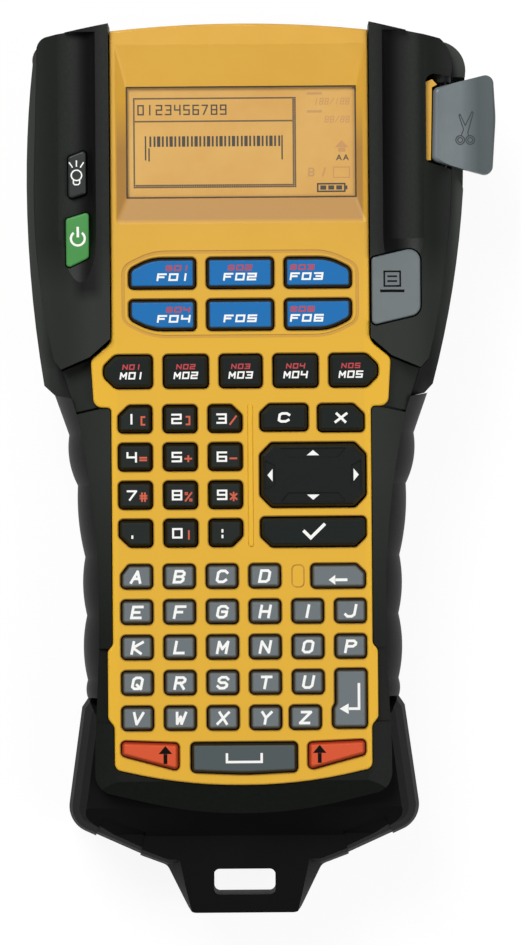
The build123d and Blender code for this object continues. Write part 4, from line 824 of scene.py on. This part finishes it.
@dataclass
class Display:
    """What the display shows: a framed field with bars and plain signs.

    Attributes:
        z: height of the film.
        field_x: limits of the framed field.
        field_y: limits of the framed field.
        pixel: edge of a pixel.
        pitch: distance of pixels.
        title_y: line under the title row.
        border_x: limits of the line round the window.
        border_y: limits of the line round the window.
        border_z: top of the window.
        bar_at: middle of the first bar.
        bar_pitch: distance of bars.
        bar_count: how many bars.
        bar_widths: width of a thin bar and of every third one.
        bar_height: height of the bars.
        guards: middle and height of each long line beside the bars.
        guard_width: width of these lines.
        idle: shape of the pale digits.
    """

    z: float = 50.1
    field_x: Spot = (-30.3, 16.2)
    field_y: Spot = (81.3, 106.9)
    pixel: float = 0.44
    pitch: float = 0.53
    title_y: float = 100.3
    border_x: Spot = (-32.4, 33.6)
    border_y: Spot = (78.2, 110.1)
    border_z: float = 51.2
    bar_at: Spot = (-25.6, 94.5)
    bar_pitch: float = 1.2
    bar_count: int = 32
    bar_widths: Spot = (0.55, 0.95)
    bar_height: float = 3.0
    guards: tuple[Place, ...] = ((-27.0, 92.6, 7.0), (-26.0, 90.7, 3.8), (12.4, 92.6, 7.0))
    guard_width: float = 0.4
    idle: Lettering = Lettering(1.9, 1.1, 0.24, 0.15, 0.4)

    def edges(self, dark: Print) -> None:
        """Draw the frame of the field; its right and lower lines are double."""
        (left, right), (low, high) = self.field_x, self.field_y
        for k in range(2):
            shift = k * self.pitch
            dark.dots((right - shift, low), (right - shift, high), self.pixel, self.pitch)
            dark.dots((left, low + shift), (right - 2 * self.pitch, low + shift), self.pixel, self.pitch)
        dark.dots((left, low + 2 * self.pitch), (left, high), self.pixel, self.pitch)
        for y in (high, self.title_y):
            dark.dots((left + self.pitch, y), (right - 2 * self.pitch, y), self.pixel, self.pitch)

    def bars(self, dark: Print) -> None:
        """Draw an even row of bars between long lines."""
        thin, broad = self.bar_widths
        x, y = self.bar_at
        for k in range(self.bar_count):
            dark.bar(x + self.bar_pitch * k, y, broad if k % 3 == 2 else thin, self.bar_height)
        for x, y, height in self.guards:
            dark.bar(x, y, self.guard_width, height)

    def build(self) -> None:
        """Draw the pixels on the film."""
        dark = Print("display_pixels", "casing", self.z, Finishes.PIXEL, 0.04)
        self.edges(dark)
        self.bars(dark)
        dark.text("0123456789", self.field_x[0] + 1.0, 103.6, Lettering(3.0, 1.9, 0.4, 0.0, 0.75), 0.0)
        dark.text("AA", 29.8, 89.6, Lettering(1.7, 1.6, 0.3, 0.0, 0.4))
        dark.frame((22.6, 30.4), (79.8, 82.0), 0.45)
        dark.bar(30.9, 80.9, 0.5, 1.1)
        for k in range(3):
            dark.bar(24.2 + 2.3 * k, 80.9, 1.7, 1.2)
        dark.done()
        border = Print("display_border", "casing", self.border_z, Finishes.BORDER_INK, 0.03)
        border.frame(self.border_x, self.border_y, 0.5)
        border.done()
        pale = Print("display_idle_marks", "casing", self.z, Finishes.PALE_PIXEL, 0.03)
        for y, digits in ((105.8, "188/188"), (100.6, "88/88")):
            pale.text(digits, 31.9, y, self.idle, 1.0)
            pale.bar(21.8, y + 2.3, 4.4, 0.7)
        pale.polygon([(27.6, 92.5), (31.6, 92.5), (29.6, 94.6)])
        pale.bar(29.6, 91.8, 2.0, 1.2)
        pale.text("B", 20.8, 85.4, Lettering(2.6, 1.9, 0.5))
        pale.text("I", 24.4, 85.4, Lettering(2.6, 1.9, 0.5, 0.3))
        pale.frame((27.2, 31.8), (83.8, 86.8), 0.3)
        pale.done()


@dataclass
class Studio:
    """Camera, lights and floor.

    Attributes:
        lens: focal length in millimetres, long so that the view is nearly flat.
        sensor: sensor height in millimetres.
        view_height: height of the picture at the front face, in millimetres.
        aim: point of the drawing in the middle of the picture.
        roll: turn of the object in the picture, in degrees.
        far: how far the camera sees, in metres.
        key_place: where the main lamp hangs, in metres.
        key_size: edge length of the main lamp in metres.
        key_power: its watts.
        fill_place: where the second lamp hangs, in metres.
        fill_size: edge length of the second lamp in metres.
        fill_power: its watts.
        surround: strength of the light from all sides.
        floor_half: half of the floor's edge in metres.
        floor_z: height of the floor in metres.
        floor_white: brightness of the floor's white.
        floor_share: share of that white in what is seen of the floor.
    """

    lens: float = 250.0
    sensor: float = 36.0
    view_height: float = 272.16
    aim: Spot = (5.47, -1.20)
    roll: float = 0.43
    far: float = 20.0
    key_place: Place = (-0.4, 0.7, 1.15)
    key_size: float = 0.7
    key_power: float = 14.3
    fill_place: Place = (0.6, -0.3, 1.1)
    fill_size: float = 0.6
    fill_power: float = 5.7
    surround: float = 0.2
    floor_half: float = 3.0
    floor_z: float = -0.0004
    floor_white: float = 1.07
    floor_share: float = 0.85

    def camera(self) -> None:
        """Set the camera straight above the front face."""
        data = bpy.data.cameras.new("camera")
        data.sensor_fit, data.sensor_height, data.lens = "VERTICAL", self.sensor, self.lens
        data.clip_end = self.far
        holder = bpy.data.objects.new("camera", data)
        holder.location = at(*self.aim, FACE + self.view_height * self.lens / self.sensor)
        holder.rotation_euler = (0, 0, -math.radians(self.roll))
        bpy.context.scene.collection.objects.link(holder)
        bpy.context.scene.camera = holder

    def lamp(self, name: str, place: Vector, size: float, power: float) -> None:
        """Add a soft square lamp that points at the middle of the object.

        Args:
            name: lamp name.
            place: where it hangs, in metres.
            size: edge length in metres.
            power: watts.
        """
        data = bpy.data.lights.new(name, "AREA")
        data.size, data.energy = size, power
        holder = bpy.data.objects.new(name, data)
        holder.location = place
        holder.rotation_euler = (at(0, 0, 30) - place).to_track_quat("-Z", "Y").to_euler()
        bpy.context.scene.collection.objects.link(holder)

    def floor(self) -> None:
        """Lay a pale floor that reads as white and keeps the object's shadow."""
        shape = bmesh.new()
        bmesh.ops.create_grid(shape, x_segments=1, y_segments=1, size=self.floor_half)
        bmesh.ops.translate(shape, verts=shape.verts, vec=(0, 0, self.floor_z))
        data = bpy.data.meshes.new("floor")
        shape.to_mesh(data)
        shape.free()
        piece = bpy.data.objects.new("floor", data)
        bpy.context.scene.collection.objects.link(piece)
        made = bpy.data.materials.new("paper_floor")
        made.use_nodes = True
        tree = made.node_tree
        tree.nodes.clear()
        path = node(tree, "LightPath")
        rays = {0: path.outputs["Is Camera Ray"], 1: path.outputs["Is Glossy Ray"]}
        seen = node(tree, "Math", rays, operation="MAXIMUM")
        rays = {0: seen.outputs[0], 1: path.outputs["Is Transmission Ray"]}
        seen = node(tree, "Math", rays, operation="MAXIMUM")
        share = node(tree, "Math", {0: seen.outputs[0], 1: self.floor_share}, operation="MULTIPLY")
        matt = node(tree, "BsdfDiffuse", {"Color": linear("#e4e4e2")})
        white = node(tree, "Emission", {"Color": linear("#ffffff"), "Strength": self.floor_white})
        mixed = node(tree, "MixShader", {0: share.outputs[0], 1: matt.outputs[0], 2: white.outputs[0]})
        node(tree, "OutputMaterial", {"Surface": mixed.outputs[0]})
        data.materials.append(made)

    def world(self) -> None:
        """Even grey surround."""
        surround = bpy.data.worlds.new("surround")
        surround.use_nodes = True
        sockets = surround.node_tree.nodes["Background"].inputs
        sockets["Color"].default_value = linear("#e8e8e8")
        sockets["Strength"].default_value = self.surround
        bpy.context.scene.world = surround

    def build(self) -> None:
        """Set up the studio."""
        self.camera()
        self.world()
        self.floor()
        self.lamp("key_lamp", Vector(self.key_place), self.key_size, self.key_power)
        self.lamp("fill_lamp", Vector(self.fill_place), self.fill_size, self.fill_power)
        bpy.context.scene.view_settings.view_transform = "Standard"


def main() -> None:
    """Build every sub-assembly in order."""
    logging.basicConfig(level=logging.INFO, format="%(message)s")
    Casing().dress()
    Keypad().build()
    SideControls().build()
    Display().build()
    Studio().build()


if __name__ == "__main__":
    main()
